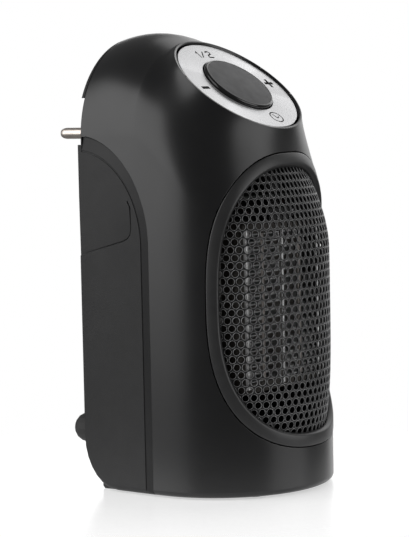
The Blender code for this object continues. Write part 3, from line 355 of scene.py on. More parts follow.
def shoulder(turn, y=None):
    """Bezier points of the curve from the top of the wall to the rim, or to the ridge at a given y."""
    if y is not None:
        share = (y - JUNCTION_Y) / (BACK_Y - JUNCTION_Y)
        width = half_width(y)
        top = rim_point(0).z * (1 - share) + RIDGE_Z[0] * share
        bulge = RIDGE_Z[1] - (rim_point(0).z + RIDGE_Z[0]) / 2
        top += 4 * bulge * share * (1 - share)
        foot, head = Vector((-width, y, ARCH_Z)), Vector((0, y, top))
        return (foot, foot + Vector((0, 0, ROUND_SHARE * (top - ARCH_Z))),
                head - Vector((ROUND_SHARE * width, 0, 0)), head)
    x, plan_y = plan_point(plan_share(turn))
    head = rim_point(turn)
    foot = Vector((x, plan_y, eased(turn, WALL_TOP_Z, 0.0)))
    outward = Vector((x - head.x, plan_y - head.y, 0)).normalized()
    droop = math.radians(eased(turn, DROOP_DEGREES, DROOP_SLOPE))
    leave = outward * math.cos(droop) - Vector((0, 0, math.sin(droop)))
    return (foot, foot + Vector((0, 0, eased(turn, WALL_PULL, WALL_PULL_SLOPE))),
            head + eased(turn, RIM_PULL, RIM_PULL_SLOPE) * leave, head)


def underside_z(y, inset=0.0):
    """Height of the underside, or of the floor inside it."""
    share = min(max((y - TUCK_Y) / (BACK_Y - inset - TUCK_Y), 0.0), 1.0)
    return FLOOR_Z + inset + TUCK_RISE * (1 - math.sqrt(1 - share * share))


def bezier(ends, t):
    a, b, c, d = ends
    s = 1 - t
    return s ** 3 * a + 3 * s * s * t * b + 3 * s * t * t * c + t ** 3 * d


def housing_column(ends, wall_rows, shoulder_rows):
    """Points of one column of the surface, from the underside up to the rim or ridge."""
    foot = ends[0]
    low = underside_z(foot.y)
    column = []
    for step in range(EDGE_ROWS):
        angle = math.pi / 2 * step / EDGE_ROWS
        inward = EDGE_ROUND * (1 - math.sin(angle)) / math.hypot(foot.x, min(foot.y, 0.0))
        lift = EDGE_ROUND * (1 - math.cos(angle))
        column.append(Vector((foot.x * (1 - inward), foot.y - min(foot.y, 0.0) * inward, low + lift)))
    for step in range(wall_rows):
        level = low + EDGE_ROUND + (foot.z - low - EDGE_ROUND) * step / wall_rows
        column.append(Vector((foot.x, foot.y, level)))
    column += [bezier(ends, step / shoulder_rows) for step in range(shoulder_rows + 1)]
    return column


def housing_grid(back_y=BACK_Y, back_columns=6, fan_columns=14, wall_rows=3, shoulder_rows=7):
    """Columns of the -X half from the back edge to the front centre."""
    grid = []
    for step in range(back_columns):
        y = JUNCTION_Y + (back_y - JUNCTION_Y) * math.cos(math.pi / 2 * step / back_columns)
        grid.append(housing_column(shoulder(0, y), wall_rows, shoulder_rows))
    for step in range(fan_columns + 1):
        grid.append(housing_column(shoulder(step / fan_columns), wall_rows, shoulder_rows))
    return grid


def inner_grid(back_y):
    """Columns of the hollow: the wall and shoulder moved inwards by the wall thickness."""
    grid = [column[EDGE_ROWS:] for column in housing_grid(back_y)]
    rows = len(grid[0])
    moved = []
    for i, column in enumerate(grid):
        before, after = grid[max(i - 1, 0)], grid[min(i + 1, len(grid) - 1)]
        new_column = []
        for j, point in enumerate(column):
            along = after[j] - before[j]
            up = column[min(j + 1, rows - 1)] - column[max(j - 1, 0)]
            normal = along.cross(up).normalized()
            if abs(point.x) < 1e-6:
                normal = Vector((0, normal.y, normal.z)).normalized()
            if i == 0:
                normal = Vector((normal.x, 0, normal.z)).normalized()
            new_column.append(point - WALL * normal)
        new_column[0].z = underside_z(new_column[0].y, WALL)
        moved.append(new_column)
    return moved


def grid_solid(grid):
    """Both halves of a housing grid with its underside, back and ring opening closed by strips."""
    rows, columns = len(grid[0]), len(grid)
    points, index = [], {}
    for side in (1, -1):
        for i, column in enumerate(grid):
            for j, p in enumerate(column):
                on_middle = abs(p.x) < 1e-6
                if side == -1 and on_middle:
                    index[side, i, j] = index[1, i, j]
                    continue
                index[side, i, j] = len(points)
                points.append((p.x * side, p.y, p.z))
    faces = []
    for i in range(columns - 1):
        for j in range(rows - 1):
            corners = [(i, j), (i + 1, j), (i + 1, j + 1), (i, j + 1)]
            faces.append([index[1, a, b] for a, b in corners])
            faces.append([index[-1, a, b] for a, b in reversed(corners)])
        for j in (0, rows - 1):
            strip = [index[1, i, j], index[-1, i, j], index[-1, i + 1, j], index[1, i + 1, j]]
            faces.append(strip if j == 0 else strip[::-1])
    for j in range(rows - 1):
        faces.append([index[1, 0, j], index[1, 0, j + 1], index[-1, 0, j + 1], index[-1, 0, j]])
    distinct = [list(dict.fromkeys(face)) for face in faces]
    return points, [face for face in distinct if len(face) > 2]


class OuterSkin:
    """The housing surface alone, with its own smooth normals, for shading what is cut from it."""

    def __init__(self, grid):
        self.corners, self.normals, self.triangles = [], [], []
        places = np.array(grid)
        across, up = np.gradient(places, axis=0), np.gradient(places, axis=1)
        facing = np.cross(across, up)
        facing[np.abs(places[..., 0]) < 1e-6, 0] = 0.0
        facing /= np.linalg.norm(facing, axis=2, keepdims=True)
        columns, rows = places.shape[:2]
        for side in (1, -1):
            start = len(self.corners)
            turn = np.array((side, 1, 1))
            self.corners += [to_world(p) for p in (places * turn).reshape(-1, 3)]
            self.normals += [Vector(n) for n in (facing * turn).reshape(-1, 3)]
            for i in range(columns - 1):
                for j in range(rows - 1):
                    a, b = start + i * rows + j, start + (i + 1) * rows + j
                    self.triangles += [(a, b, b + 1), (a, b + 1, a + 1)]
        self.tree = BVHTree.FromPolygons(self.corners, self.triangles)

    def shade(self, made, reach=0.00004, agree=0.8):
        """Gives a finished mesh the skin's normals wherever it still lies on the skin."""
        mesh = made.data
        chosen = []
        for face in mesh.polygons:
            for corner in face.vertices:
                near, _, index, distance = self.tree.find_nearest(mesh.vertices[corner].co)
                normal = Vector((0.0, 0.0, 0.0))
                if distance < reach:
                    a, b, c = self.triangles[index]
                    blended = barycentric_transform(
                        near, self.corners[a], self.corners[b], self.corners[c],
                        self.normals[a], self.normals[b], self.normals[c]).normalized()
                    if blended.dot(face.normal) > agree:
                        normal = blended
                chosen.append(normal)
        mesh.normals_split_custom_set(chosen)


class FrontMap:
    """Points on the front surface by arc length from its centre line and height."""

    def __init__(self):
        arc_reach, rise = OPENING_HALF_ARC + TABLE_MARGIN, OPENING_HALF_HEIGHT + TABLE_MARGIN
        self.low_arc, self.low_z = -arc_reach, OPENING_Z - rise
        arcs = np.arange(-arc_reach, arc_reach + TABLE_STEP, TABLE_STEP)
        heights = np.arange(self.low_z, OPENING_Z + rise + TABLE_STEP, TABLE_STEP)
        self.places = np.array([self.column(arc, heights) for arc in arcs])
        across, up = np.gradient(self.places, axis=0), np.gradient(self.places, axis=1)
        facing = np.cross(across, up)
        self.facing = facing / np.linalg.norm(facing, axis=2, keepdims=True)

    def column(self, arc, heights):
        """Points at given heights on the surface's column at an arc length, found by halving."""
        whole = JUNCTION_Y + HALF_WIDTH * math.pi / 2
        share = (whole - abs(arc)) / whole
        low, high = 0.0, 1.0
        for _ in range(HALVINGS):
            middle = (low + high) / 2
            low, high = (middle, high) if plan_share(middle) < share else (low, middle)
        ends = [np.array(p) for p in shoulder(low)]
        below, above = np.zeros_like(heights), np.ones_like(heights)
        for _ in range(HALVINGS):
            t = (below + above) / 2
            under = bezier([end[2] for end in ends], t) < heights
            below, above = np.where(under, t, below), np.where(under, above, t)
        points = bezier([end[None, :] for end in ends], below[:, None])
        wall = heights <= ends[0][2]
        points[wall] = ends[0]
        points[:, 2] = heights
        points[:, 0] = np.abs(points[:, 0]) * (1 if arc > 0 else -1)
        return points

    def at(self, arcs, heights, lift):
        """(n, 3) points at a height above (or, negative, below) the surface."""
        u = (np.asarray(arcs) - self.low_arc) / TABLE_STEP
        v = (np.asarray(heights) - self.low_z) / TABLE_STEP
        i = np.clip(np.floor(u).astype(int), 0, len(self.places) - 2)
        j = np.clip(np.floor(v).astype(int), 0, self.places.shape[1] - 2)
        u, v = (u - i)[..., None], (v - j)[..., None]

        def mixed(table):
            low = table[i, j] * (1 - u) + table[i + 1, j] * u
            high = table[i, j + 1] * (1 - u) + table[i + 1, j + 1] * u
            return low * (1 - v) + high * v
        return mixed(self.places) + np.asarray(lift)[..., None] * mixed(self.facing)


SKIN_GRID = housing_grid(BACK_Y, SKIN_BACK_COLUMNS, SKIN_COLUMNS, SKIN_WALL_ROWS, SKIN_SHOULDER_ROWS)
SKIN = OuterSkin(SKIN_GRID)
FRONT = FrontMap()


def opening_outline(inset, count=OUTLINE_STEPS):
    """Arc lengths and heights of the front opening's edge, moved inwards by an inset."""
    angles = 2 * np.pi * np.arange(count) / count
    c, s = np.cos(angles), np.sin(angles)
    power = np.where(s > 0, 2 / OPENING_POWER, 2 / OPENING_LOW_POWER)
    arcs = np.sign(c) * np.abs(c) ** power * (OPENING_HALF_ARC - inset)
    heights = OPENING_Z + np.sign(s) * np.abs(s) ** power * (OPENING_HALF_HEIGHT - inset)
    return arcs, heights


def front_pad(inset, low_lift, high_lift, rings=8):
    """Closed sheet that follows the front surface and fills the opening outline."""
    arcs, heights = opening_outline(inset)
    reaches = [k / rings for k in range(1, rings + 1)]
    section = [(k, low_lift) for k in reaches] + [(k, high_lift) for k in reversed(reaches)]
    rows = [FRONT.at(arcs * k, OPENING_Z + (heights - OPENING_Z) * k, lift) for k, lift in section]
    points = [row[i] for i in range(len(arcs)) for row in rows]
    return points, tube_faces(len(arcs), len(section), closed=False)


# ---- shells --------------------------------------------------------------------------------------
def seam_curve(gap, widen=1.0, steps=40):
    """(y, z) at a distance inside the rear shell's edge on the side; widen multiplies it at the crown."""
    curve = [(SEAM_Y + gap, SEAM_LOW_Z), (SEAM_Y + gap, SEAM_CENTRE_Z)]
    reach = SEAM_TOP_Y - SEAM_Y
    for step in range(1, steps + 1):
        angle = math.pi / 2 * step / steps
        y = SEAM_TOP_Y - (reach - gap) * math.cos(angle)
        if y < SHELL_BACK_Y:
            curve.append((y, SEAM_CENTRE_Z + (SEAM_RADIUS_Z - gap * widen) * math.sin(angle)))
    return curve


def seam_outline(gap):
    """(y, z) outline on the side of all that is behind the rear shell's edge."""
    crown_y, crown_z = SHELL_BACK_Y + gap, SEAM_CENTRE_Z + SEAM_RADIUS_Z - gap
    behind = BACK_Y + CUT_PAST
    top = [(crown_y, crown_z), (crown_y, SEAM_HIGH_Z), (behind, SEAM_HIGH_Z)]
    return [(behind, SEAM_LOW_Z)] + seam_curve(gap) + top


def channel(side, lines, depths):
    """Cutter on a side wall between two (y, z) lines of equal length, with a depth below the wall at each."""
    levels = (-depths[0], -depths[1], CUT_OUT, CUT_OUT)
    corners = zip((lines[0], lines[1], lines[1], lines[0]), levels)
    return bar_solid([[(side * (half_width(y) + level), y, z) for y, z in line] for line, level in corners])


def seam_strip(side, ahead, behind, ahead_depth, behind_depth):
    """Channel along the edge of the rear shell, between two distances from it."""
    curves = [seam_curve(ahead, GROOVE_WIDEN if ahead > 0 else 1.0), seam_curve(behind, GROOVE_WIDEN)]
    count = min(len(curve) for curve in curves)
    return channel(side, [curve[:count] for curve in curves], (ahead_depth, behind_depth))


def finger_grip(side):
    """Wedge cut from the side of the rear shell: nothing at its top crease, deepest at its foot."""
    upper = [(GRIP_FRONT_Y, 127.0), GRIP_OUTLINE[1], GRIP_OUTLINE[0], (GRIP_TAIL[0], 141.6)]
    lower = [(GRIP_FRONT_Y, 120.5), *GRIP_OUTLINE[3:], GRIP_TAIL]
    stations = sorted({y for y, _ in upper + lower} | {GRIP_FRONT_Y + 2.6 * k for k in range(1, 14)})
    lines = [[(y, np.interp(y, *zip(*edge))) for y in stations] for edge in (upper, lower)]
    return channel(side, lines, (-0.02, GRIP_DEPTH))


def grip_line(side):
    """Fine channel round the front and the foot of the finger grip."""
    route = [Vector(p) for p in (*GRIP_OUTLINE, GRIP_TAIL)]
    lines = []
    for reach in (-GRIP_LINE_WIDTH / 2, GRIP_LINE_WIDTH / 2):
        line = []
        for i, here in enumerate(route):
            run = (route[min(i + 1, len(route) - 1)] - route[max(i - 1, 0)]).normalized()
            line.append(here + reach * Vector((-run.y, run.x)))
        lines.append(line)
    return channel(side, lines, (GRIP_LINE_DEPTH, GRIP_LINE_DEPTH))


def vent_slot(x0, x1, z):
    """Slot with round ends through the back wall."""
    r = VENT_HEIGHT / 2
    outline = fillet(x1 - r, z + r, r, -90, 90, 6) + fillet(x0 + r, z + r, r, 90, 270, 6)
    return prism(outline, BACK_Y - 12, BACK_Y + CUT_PAST)


def arch_outline(clearance, low_z, steps=40):
    """(x, z) outline that fits inside the back of the shells with a clearance."""
    reach = REAR_HALF_WIDTH - WALL + 0.4 - clearance
    rise = RIDGE_Z[0] - WALL - ARCH_Z - clearance
    angles = [math.pi * step / steps for step in range(steps + 1)]
    arc = [(reach * math.cos(angle), ARCH_Z + rise * math.sin(angle)) for angle in angles]
    return arc + [(-reach, low_z), (reach, low_z)]


def rocker_place(u, v, w):
    """Switch frame: u forwards along the wall, v up, w out of the wall."""
    slope = math.atan((half_width(ROCKER_Y - 1) - half_width(ROCKER_Y + 1)) / 2)
    c, s = math.cos(slope), math.sin(slope)
    return (half_width(ROCKER_Y) + w * c + u * s, ROCKER_Y + w * s - u * c, ROCKER_Z + v)


def make_front_shell(gloss):
    shell = new_piece("front_shell_skin", *grid_solid(SKIN_GRID), smooth_angle=50, triangles=True)
    boolean(shell, "cut_inner_open", grid_solid(inner_grid(BACK_Y + CUT_PAST)), triangles=True)
    points, faces = prism(circle(VISIBLE_BORE, 144), -BORE_DEPTH, CUT_PAST, "Z")
    boolean(shell, "cut_ring", ([ring_place(*p) for p in points], faces))
    boolean(shell, "cut_opening", front_pad(-OPENING_CLEARANCE, -CUT_PAST, CUT_PAST), triangles=True)
    boolean(shell, "cut_seam", prism(seam_outline(-GAP / 2), -CUT_ACROSS, CUT_ACROSS, "X"))
    pockets = [rod(x, y, -1.0, FOOT_RADIUS + GAP, 3.0, "Z", 32) for x, y in FRONT_FEET]
    boolean(shell, "cut_feet", join(pockets))
    put(shell, gloss, "housing", "gloss_shell", "front_shell")
    SKIN.shade(shell)


def screw_hole(x, z):
    """Hole in the back wall with a wider seat for the head and a chamfer round it."""
    seat, bore = HEAD_RADIUS + GAP, SHANK_RADIUS + GAP
    profile = [(seat + 0.5, BACK_Y + 5), (seat + 0.5, BACK_Y + 0.001), (seat, BACK_Y - 0.5),
               (seat, BACK_Y - HEAD_SINK), (bore, BACK_Y - HEAD_SINK), (bore, BACK_Y - 12)]
    return turned(profile, along_y(x, z), 24, closed=False)


def make_rear_shell(matte, band_shade):
    shell = new_piece("rear_shell_skin", *grid_solid(SKIN_GRID), smooth_angle=50, triangles=True)
    shell.data.materials.append(matte)
    boolean(shell, "keep_rear", prism(seam_outline(GAP / 2), -CUT_ACROSS, CUT_ACROSS, "X"), "INTERSECT")
    boolean(shell, "cut_inner", grid_solid(inner_grid(BACK_Y - BACK_WALL)), triangles=True)
    arch = arch_outline(COLLAR_CLEARANCE, COLLAR_LOW_Z)
    boolean(shell, "add_collar", prism(arch, BACK_Y - BACK_WALL + 0.1, SHELL_BACK_Y + 0.8), "UNION")
    table = rod(0, BACK_Y - CUT_PAST, PLUG_Z, TURNTABLE_RADIUS + GAP + 0.3, 20, count=144)
    boolean(shell, "cut_turntable", table)
    notch = box(-CUT_ACROSS, CUT_ACROSS, SHELL_BACK_Y - 0.1, BACK_Y + CUT_PAST, NOTCH_LOW_Z, NOTCH_HIGH_Z)
    boolean(shell, "cut_notch", notch)
    boolean(shell, "cut_grips", join([finger_grip(-1), finger_grip(1)]), triangles=True)
    boolean(shell, "cut_grip_lines", join([grip_line(-1), grip_line(1)]), triangles=True)
    # the seam band is cut with a darker copy of the matte plastic: painted shade in the recess
    bands = [seam_strip(side, -0.6, GROOVE_IN + 0.1, BAND_DEPTH, 0.1) for side in (-1, 1)]
    boolean(shell, "cut_bands", join(bands), finish=band_shade, triangles=True)
    far = GROOVE_IN + GROOVE_WIDTH
    grooves = [seam_strip(side, GROOVE_IN, far, GROOVE_DEPTH, GROOVE_DEPTH) for side in (-1, 1)]
    boolean(shell, "cut_grooves", join(grooves), triangles=True)
    slots = []
    for row in range(VENT_ROWS):
        z = VENT_LOW_Z + row * VENT_PITCH
        slots += [vent_slot(VENT_MIDDLE, VENT_HALF_WIDTH, z), vent_slot(-VENT_HALF_WIDTH, -VENT_MIDDLE, z)]
    boolean(shell, "cut_vents", join(slots))
    boolean(shell, "cut_screws", join([screw_hole(x, z) for x in (-SCREW_X, SCREW_X) for z in SCREW_HEIGHTS]))
    u, v = ROCKER_HALF_U + BEZEL_RIM, ROCKER_HALF_V + BEZEL_RIM
    points, faces = box(-u, u, -v, v, -CUT_PAST, CUT_PAST)
    boolean(shell, "cut_rocker", ([rocker_place(*p) for p in points], faces))
    put(shell, None, "housing", "matte_shell", "rear_shell")
    shell.data.set_sharp_from_angle(angle=math.radians(5))
    SKIN.shade(shell)


# ---- front opening -------------------------------------------------------------------------------
def make_frame(finish):
    w, p = FRAME_WIDTH, FRAME_PROUD
    band = [(0.0, -0.15), (0.12, p - 0.12), (0.4, p), (w - 1.7, p), (w - 1.2, p - 0.06), (w - 0.75, p - 0.3),
            (w - 0.4, -0.6), (w - 0.1, -1.3), (w, -1.9), (w, FRAME_BACK), (0.0, FRAME_BACK)]
    rings = [FRONT.at(*opening_outline(inset), lift) for inset, lift in band]
    points = [ring[i] for i in range(OUTLINE_STEPS) for ring in rings]
    band_piece = new_piece("grille_frame_trim", points, tube_faces(OUTLINE_STEPS, len(band)), smooth_angle=50)
    put(band_piece, finish, "housing", "frame_plastic", "grille_frame")


def within_opening(arcs, heights, inset):
    """Sum of powers that is 1.0 on the opening's outline moved inwards, less inside it, and the power."""
    power = np.where(heights > OPENING_Z, OPENING_POWER, OPENING_LOW_POWER)
    reach = np.abs(arcs / (OPENING_HALF_ARC - inset)) ** power
    reach += np.abs((heights - OPENING_Z) / (OPENING_HALF_HEIGHT - inset)) ** power
    return reach, power


def punched_cells():
    """Arcs, heights, lifts, faces and marks of six-sided cells with a round hole in each; the marks pick the
    lip faces round each hole, which get a painted highlight.
    """
    row_pitch = HOLE_PITCH * math.sqrt(3) / 2
    rows = int(OPENING_HALF_HEIGHT / row_pitch)
    columns = int(OPENING_HALF_ARC / HOLE_PITCH) + 1
    angles = 2 * np.pi * np.arange(HOLE_SIDES) / HOLE_SIDES
    cell_radius = np.where(np.arange(HOLE_SIDES) % 2, HOLE_PITCH / math.sqrt(3), HOLE_PITCH / 2)
    rings = [(cell_radius, 0.0), (HOLE_RADIUS + 0.17, 0.0), (HOLE_RADIUS + 0.08, 0.08),
             (HOLE_RADIUS, 0.0), (HOLE_RADIUS, -GRILLE_T), (cell_radius, -GRILLE_T)]
    # the lip faces round each hole take the lighter rim colour: a painted highlight
    highlight_rings = (1, 2)
    arcs, heights, lifts, faces, highlight_marks = [], [], [], [], []
    for row in range(-rows, rows + 1):
        for column in range(-columns, columns + 1):
            arc, height = (column + 0.5 * (row % 2)) * HOLE_PITCH, OPENING_Z + row * row_pitch
            if within_opening(arc, height, FRAME_WIDTH / 2)[0] > 1.0:
                continue
            start = len(arcs)
            for radius, lift in rings:
                arcs += list(arc + radius * np.cos(angles))
                heights += list(height + radius * np.sin(angles))
                lifts += [lift - GRILLE_SETBACK] * HOLE_SIDES
            for ring in range(len(rings) - 1):
                for k in range(HOLE_SIDES):
                    a = start + ring * HOLE_SIDES + k
                    b = start + ring * HOLE_SIDES + (k + 1) % HOLE_SIDES
                    faces.append((a, b, b + HOLE_SIDES, a + HOLE_SIDES))
                    highlight_marks.append(1 if ring in highlight_rings else 0)
    return np.array(arcs), np.array(heights), np.array(lifts), faces, highlight_marks


def make_grille(paint, rim):
    """Sheet punched with round holes in staggered rows, bent to the front and bowed outwards; the lip round
    each hole has a lighter colour as painted highlight.
    """
    arcs, heights, lifts, faces, highlight_marks = punched_cells()
    reach, power = within_opening(arcs, heights, SHEET_INSET)
    bow = np.maximum(1 - (reach ** (1 / power) / BOW_START) ** BOW_POWER, 0.0)
    points = FRONT.at(arcs, heights, lifts + GRILLE_BOW * bow)
    mesh = bpy.data.meshes.new("grille_sheet")
    mesh.from_pydata([to_world(p) for p in points], [], faces)
    mesh.materials.append(paint)
    # second material, on the hole lips: a painted highlight
    mesh.materials.append(rim)
    mesh.polygons.foreach_set("material_index", highlight_marks)
    work = bmesh.new()
    work.from_mesh(mesh)
    bmesh.ops.remove_doubles(work, verts=work.verts, dist=0.00001)
    work.to_mesh(mesh)
    work.free()
    mesh.shade_smooth()
    mesh.set_sharp_from_angle(angle=math.radians(50))
    sheet = bpy.data.objects.new("grille_sheet", mesh)
    bpy.context.scene.collection.objects.link(sheet)
    put(sheet, None, "housing", "grille_metal", "grille")


def make_heater_trim(looks):
    """Rounded aluminium clamping rails on the sides and the middle of the heating block."""
    front = PTC_FRONT_Y + 0.3
    rails = (("ptc_clamp_1", -PTC_HALF_X - 0.2, 2.1), ("ptc_clamp_2", PTC_HALF_X + 0.6, 0.8),
             ("ptc_contact", 0.0, 1.0))
    for name, x, radius in rails:
        outline = [(x + radius * math.cos(t), front - 0.7 * radius * math.sin(t))
                   for t in (math.pi * k / 10 for k in range(11))]
        rail = new_piece(name, *prism(outline, PTC_LOW_Z + 2.0, PTC_HIGH_Z - 2.0, "Z"))
        put(rail, looks["rail"], "housing", "aluminium")


# ---- control ring --------------------------------------------------------------------------------
RING_FRAME = Matrix.Translation(to_world(RING_CENTRE)) @ Matrix(
    ((1, 0, 0), tuple(RING_UP), tuple(RING_NORMAL))).transposed().to_4x4()


def ring_piece(name, points, faces, smooth_angle=35.0):
    """A piece whose own axes are the ring's: x across, y uphill, z out of its face."""
    made = new_piece(name, points, faces, smooth_angle, place=lambda p: Vector(p) * MM)
    made.matrix_world = RING_FRAME
    return made


def oval(a, b, h):
    return (a, OVAL * b, h)


def stroke(route, width, low, high):
    """Flat line of a printed symbol along (a, b) points, with mitred corners."""
    way = [Vector(p) for p in route]
    ring = (way[0] - way[-1]).length < 1e-6
    if ring:
        way = way[:-1]
    left, right = [], []
    last = len(way) - 1
    for i, here in enumerate(way):
        before = way[i - 1] if i or ring else here
        after = way[(i + 1) % len(way)] if i < last or ring else here
        d1 = (here - before).normalized() if (here - before).length else (after - here).normalized()
        d2 = (after - here).normalized() if (after - here).length else d1
        mean = (d1 + d2).normalized()
        across = Vector((-mean.y, mean.x)) * (width / 2 / max(mean.dot(d1), 0.5))
        left.append(here + across)
        right.append(here - across)
    corners = ((left, low), (right, low), (right, high), (left, high))
    return bar_solid([[(p.x, p.y, level) for p in line] for line, level in corners], ring)


def symbol_strokes():
    """Generic key symbols as routes and line widths, in true millimetres on the ring face."""
    dial = [(a, CLOCK_B / CLOCK_A * b) for a, b in circle(CLOCK_A, 36)]
    return {
        "half": ((0.0, 22.3), [
            (0.7, [(-7.4, 0.9), (-6.2, 2.1), (-6.0, -2.2)]),
            (0.65, [(-4.7, -2.2), (-1.1, 2.2)]),
            (0.75, [(0.8, 1.4), (1.4, 2.1), (3.4, 2.2), (4.2, 1.4), (3.8, 0.4), (1.4, -0.4), (0.8, -1.2),
                    (0.8, -2.0), (4.4, -2.0)])]),
        "minus": ((-28.3, -1.4), [(1.7, [(-2.9, 0.0), (2.9, 0.0)])]),
        "plus": ((27.6, 1.2), [(1.5, [(-3.4, 0.0), (3.4, 0.0)]), (1.6, [(0.0, 0.6), (0.0, 2.9)]),
                               (1.6, [(0.0, -0.6), (0.0, -2.9)])]),
        "clock": ((4.2, -22.9), [(0.6, dial + [dial[0]]), (0.6, [(-1.4, 2.0), (0.2, -0.7), (2.1, 0.2)])]),
    }


def make_controls(looks):
    low = RING_FACE - RING_T
    edge = 0.4
    profile = fillet(RING_RADIUS - edge, RING_FACE - edge, edge, 90, 0, 5)
    profile += [(RING_RADIUS, low), (RING_HOLE, low)]
    profile += fillet(RING_HOLE + edge, RING_FACE - edge, edge, 180, 90, 5)
    ring = ring_piece("control_ring_face", *turned(profile, oval, 180), 40)
    put(ring, looks["brushed"], "key_ring", "silver_ring", "control_ring")

    for name, ((a, b), routes) in symbol_strokes().items():
        lines = [stroke([(a + u, b + v) for u, v in route], width, RING_FACE - 0.05, RING_FACE + 0.03)
                 for width, route in routes]
        put(ring_piece("key_symbol_" + name, *join(lines)), looks["ink"], "key_ring", "display_black")

    top = RING_FACE + CAP_RISE
    round_over = 1.2
    cap = [(CAP_RADIUS - round_over - 0.28, top - 0.10), (CAP_RADIUS - round_over - 0.15, top)]
    cap += fillet(CAP_RADIUS - round_over, top - round_over, round_over, 90, 0, 8)
    cap += [(CAP_RADIUS, RING_FACE - 1.4), (14.0, RING_FACE - 1.4), (14.0, RING_FACE - 5.1)]
    lens = ring_piece("display_cap", *turned(cap, oval, 144, closed=False), 25)
    put(lens, looks["cap_gloss"], "housing", "display_black", "display_lens")
    disc = CAP_RADIUS - round_over - 0.33
    face = [(0.6, top + 0.02), (disc - 0.2, top + 0.02), (disc, top - 0.06), (disc, top - 0.3)]
    put(ring_piece("display_face", *turned(face, oval, 96, closed=False), 40), looks["cap_face"],
        "housing", "display_black")

    bead = fillet(BEAD_RADIUS, BEAD_LEVEL, BEAD_ROUND, 200, -20, 12)
    put(ring_piece("ring_rim_bead", *turned(bead, oval, 180), 60), looks["gloss"], "housing", "gloss_shell")


# ---- plug ----------------------------------------------------------------------------------------
def make_plug(looks):
    face, tip = BACK_Y - 1.8, PLUG_FACE_Y + PIN_LENGTH
    for number, x in enumerate((-PIN_HALF_PITCH, PIN_HALF_PITCH), 1):
        r = PIN_RADIUS
        profile = [(0.2 * r, tip), (0.5 * r, tip - 0.15), (0.73 * r, tip - 0.55), (0.9 * r, tip - 1.5),
                   (r, tip - 2.9), (r, 35.6), (0.7 * r, 35.2)]
        pin = new_piece(f"plug_pin_bar_{number}", *turned(profile, along_y(x, PLUG_Z), 40, closed=False), 30)
        put(pin, looks["nickel"], "plug", "nickel", f"plug_pin_{number}")
    for number, side in enumerate((-1, 1), 1):
        z = PLUG_Z + side * EARTH_CLIP_REACH
        clip = prism([(face + 1.2, z), (PLUG_FACE_Y - 2.4, z), (PLUG_FACE_Y - 1.4, z - side * 0.9),
                      (PLUG_FACE_Y - 1.4, z - side * 0.4), (PLUG_FACE_Y - 2.6, z + side * 0.5),
                      (face + 1.2, z + side * 0.5)], -2.5, 2.5, "X")
        put(new_piece(f"earth_clip_{number}", *clip), looks["nickel"], "plug", "nickel")


def put(piece, finish, body, slot, *nodes):
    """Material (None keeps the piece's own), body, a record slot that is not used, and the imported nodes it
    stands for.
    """
    if finish is not None:
        piece.data.materials.clear()
        piece.data.materials.append(finish)
    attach(piece, body)
    if nodes:
        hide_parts(*nodes)


# ---- materials -----------------------------------------------------------------------------------
def add(tree, kind, values=None, **settings):
    """Shader node of a kind, with values on its inputs and settings of its own."""
    made = tree.nodes.new("ShaderNode" + kind)
    for name, value in settings.items():
        setattr(made, name, value)
    for name, value in (values or {}).items():
        made.inputs[name].default_value = value
    return made


def wire(tree, source, output, target, socket):
    tree.links.new(source.outputs[output], target.inputs[socket])


def noise(tree, place, scale, detail=3.0):
    made = add(tree, "TexNoise", {"Scale": scale, "Detail": detail, "Roughness": 0.55})
    wire(tree, place, "Object", made, "Vector")
    return made


def ranged(tree, source, output, low, high, start=0.3, stop=0.7):
    made = add(tree, "MapRange", {"From Min": start, "From Max": stop, "To Min": low, "To Max": high})
    wire(tree, source, output, made, "Value")
    return made


def ramped(tree, source, output, *stops):
    """Colour ramp through (position, colour) stops."""
    made = add(tree, "ValToRGB")
    elements = made.color_ramp.elements
    for place, _ in stops[1:-1]:
        elements.new(place)
    for element, (place, colour) in zip(elements, stops):
        element.position = place
        element.color = (*colour, 1.0)
    wire(tree, source, output, made, "Fac")
    return made


def new_look(name, sockets):
    """Material with its node tree and its shader, with values on the shader's sockets."""
    made = bpy.data.materials.new(name)
    made.use_nodes = True
    shader = made.node_tree.nodes["Principled BSDF"]
    for socket, value in sockets.items():
        shader.inputs[socket.replace("_", " ")].default_value = value
    return made, made.node_tree, shader


def look(name, colour, roughness, metallic=0.0, tint=0.12, mottle=180.0, spread=0.04, smear=35.0,
         grain=2600.0, depth=0.012, edge=0.25, pattern="noise", **sockets):
    """Moulded, painted or metal surface: mottled colour, uneven gloss, fine grain and soft edges.

    mottle, smear and grain are noise scales per metre; depth and edge are in millimetres.
    """
    made, tree, shader = new_look(name, {"Metallic": metallic, **sockets})
    place = add(tree, "TexCoord")
    dark = [c * (1 - tint) for c in colour]
    light = [min(c * (1 + tint), 1.0) for c in colour]
    mottled = ramped(tree, noise(tree, place, mottle), "Fac", (0.3, dark), (0.7, light))
    wire(tree, mottled, "Color", shader, "Base Color")
    uneven = ranged(tree, noise(tree, place, smear, 2.0), "Fac", roughness - spread, roughness + spread)
    wire(tree, uneven, "Result", shader, "Roughness")
    bump = add(tree, "Bump", {"Distance": depth * MM})
    if pattern == "spark":
        relief = add(tree, "TexVoronoi", {"Scale": grain})
        wire(tree, place, "Object", relief, "Vector")
        wire(tree, relief, "Distance", bump, "Height")
    else:
        wire(tree, noise(tree, place, grain, 2.0), "Fac", bump, "Height")
    if edge:
        soft = add(tree, "Bevel", {"Radius": edge * MM}, samples=4)
        wire(tree, soft, "Normal", bump, "Normal")
    wire(tree, bump, "Normal", shader, "Normal")
    return made


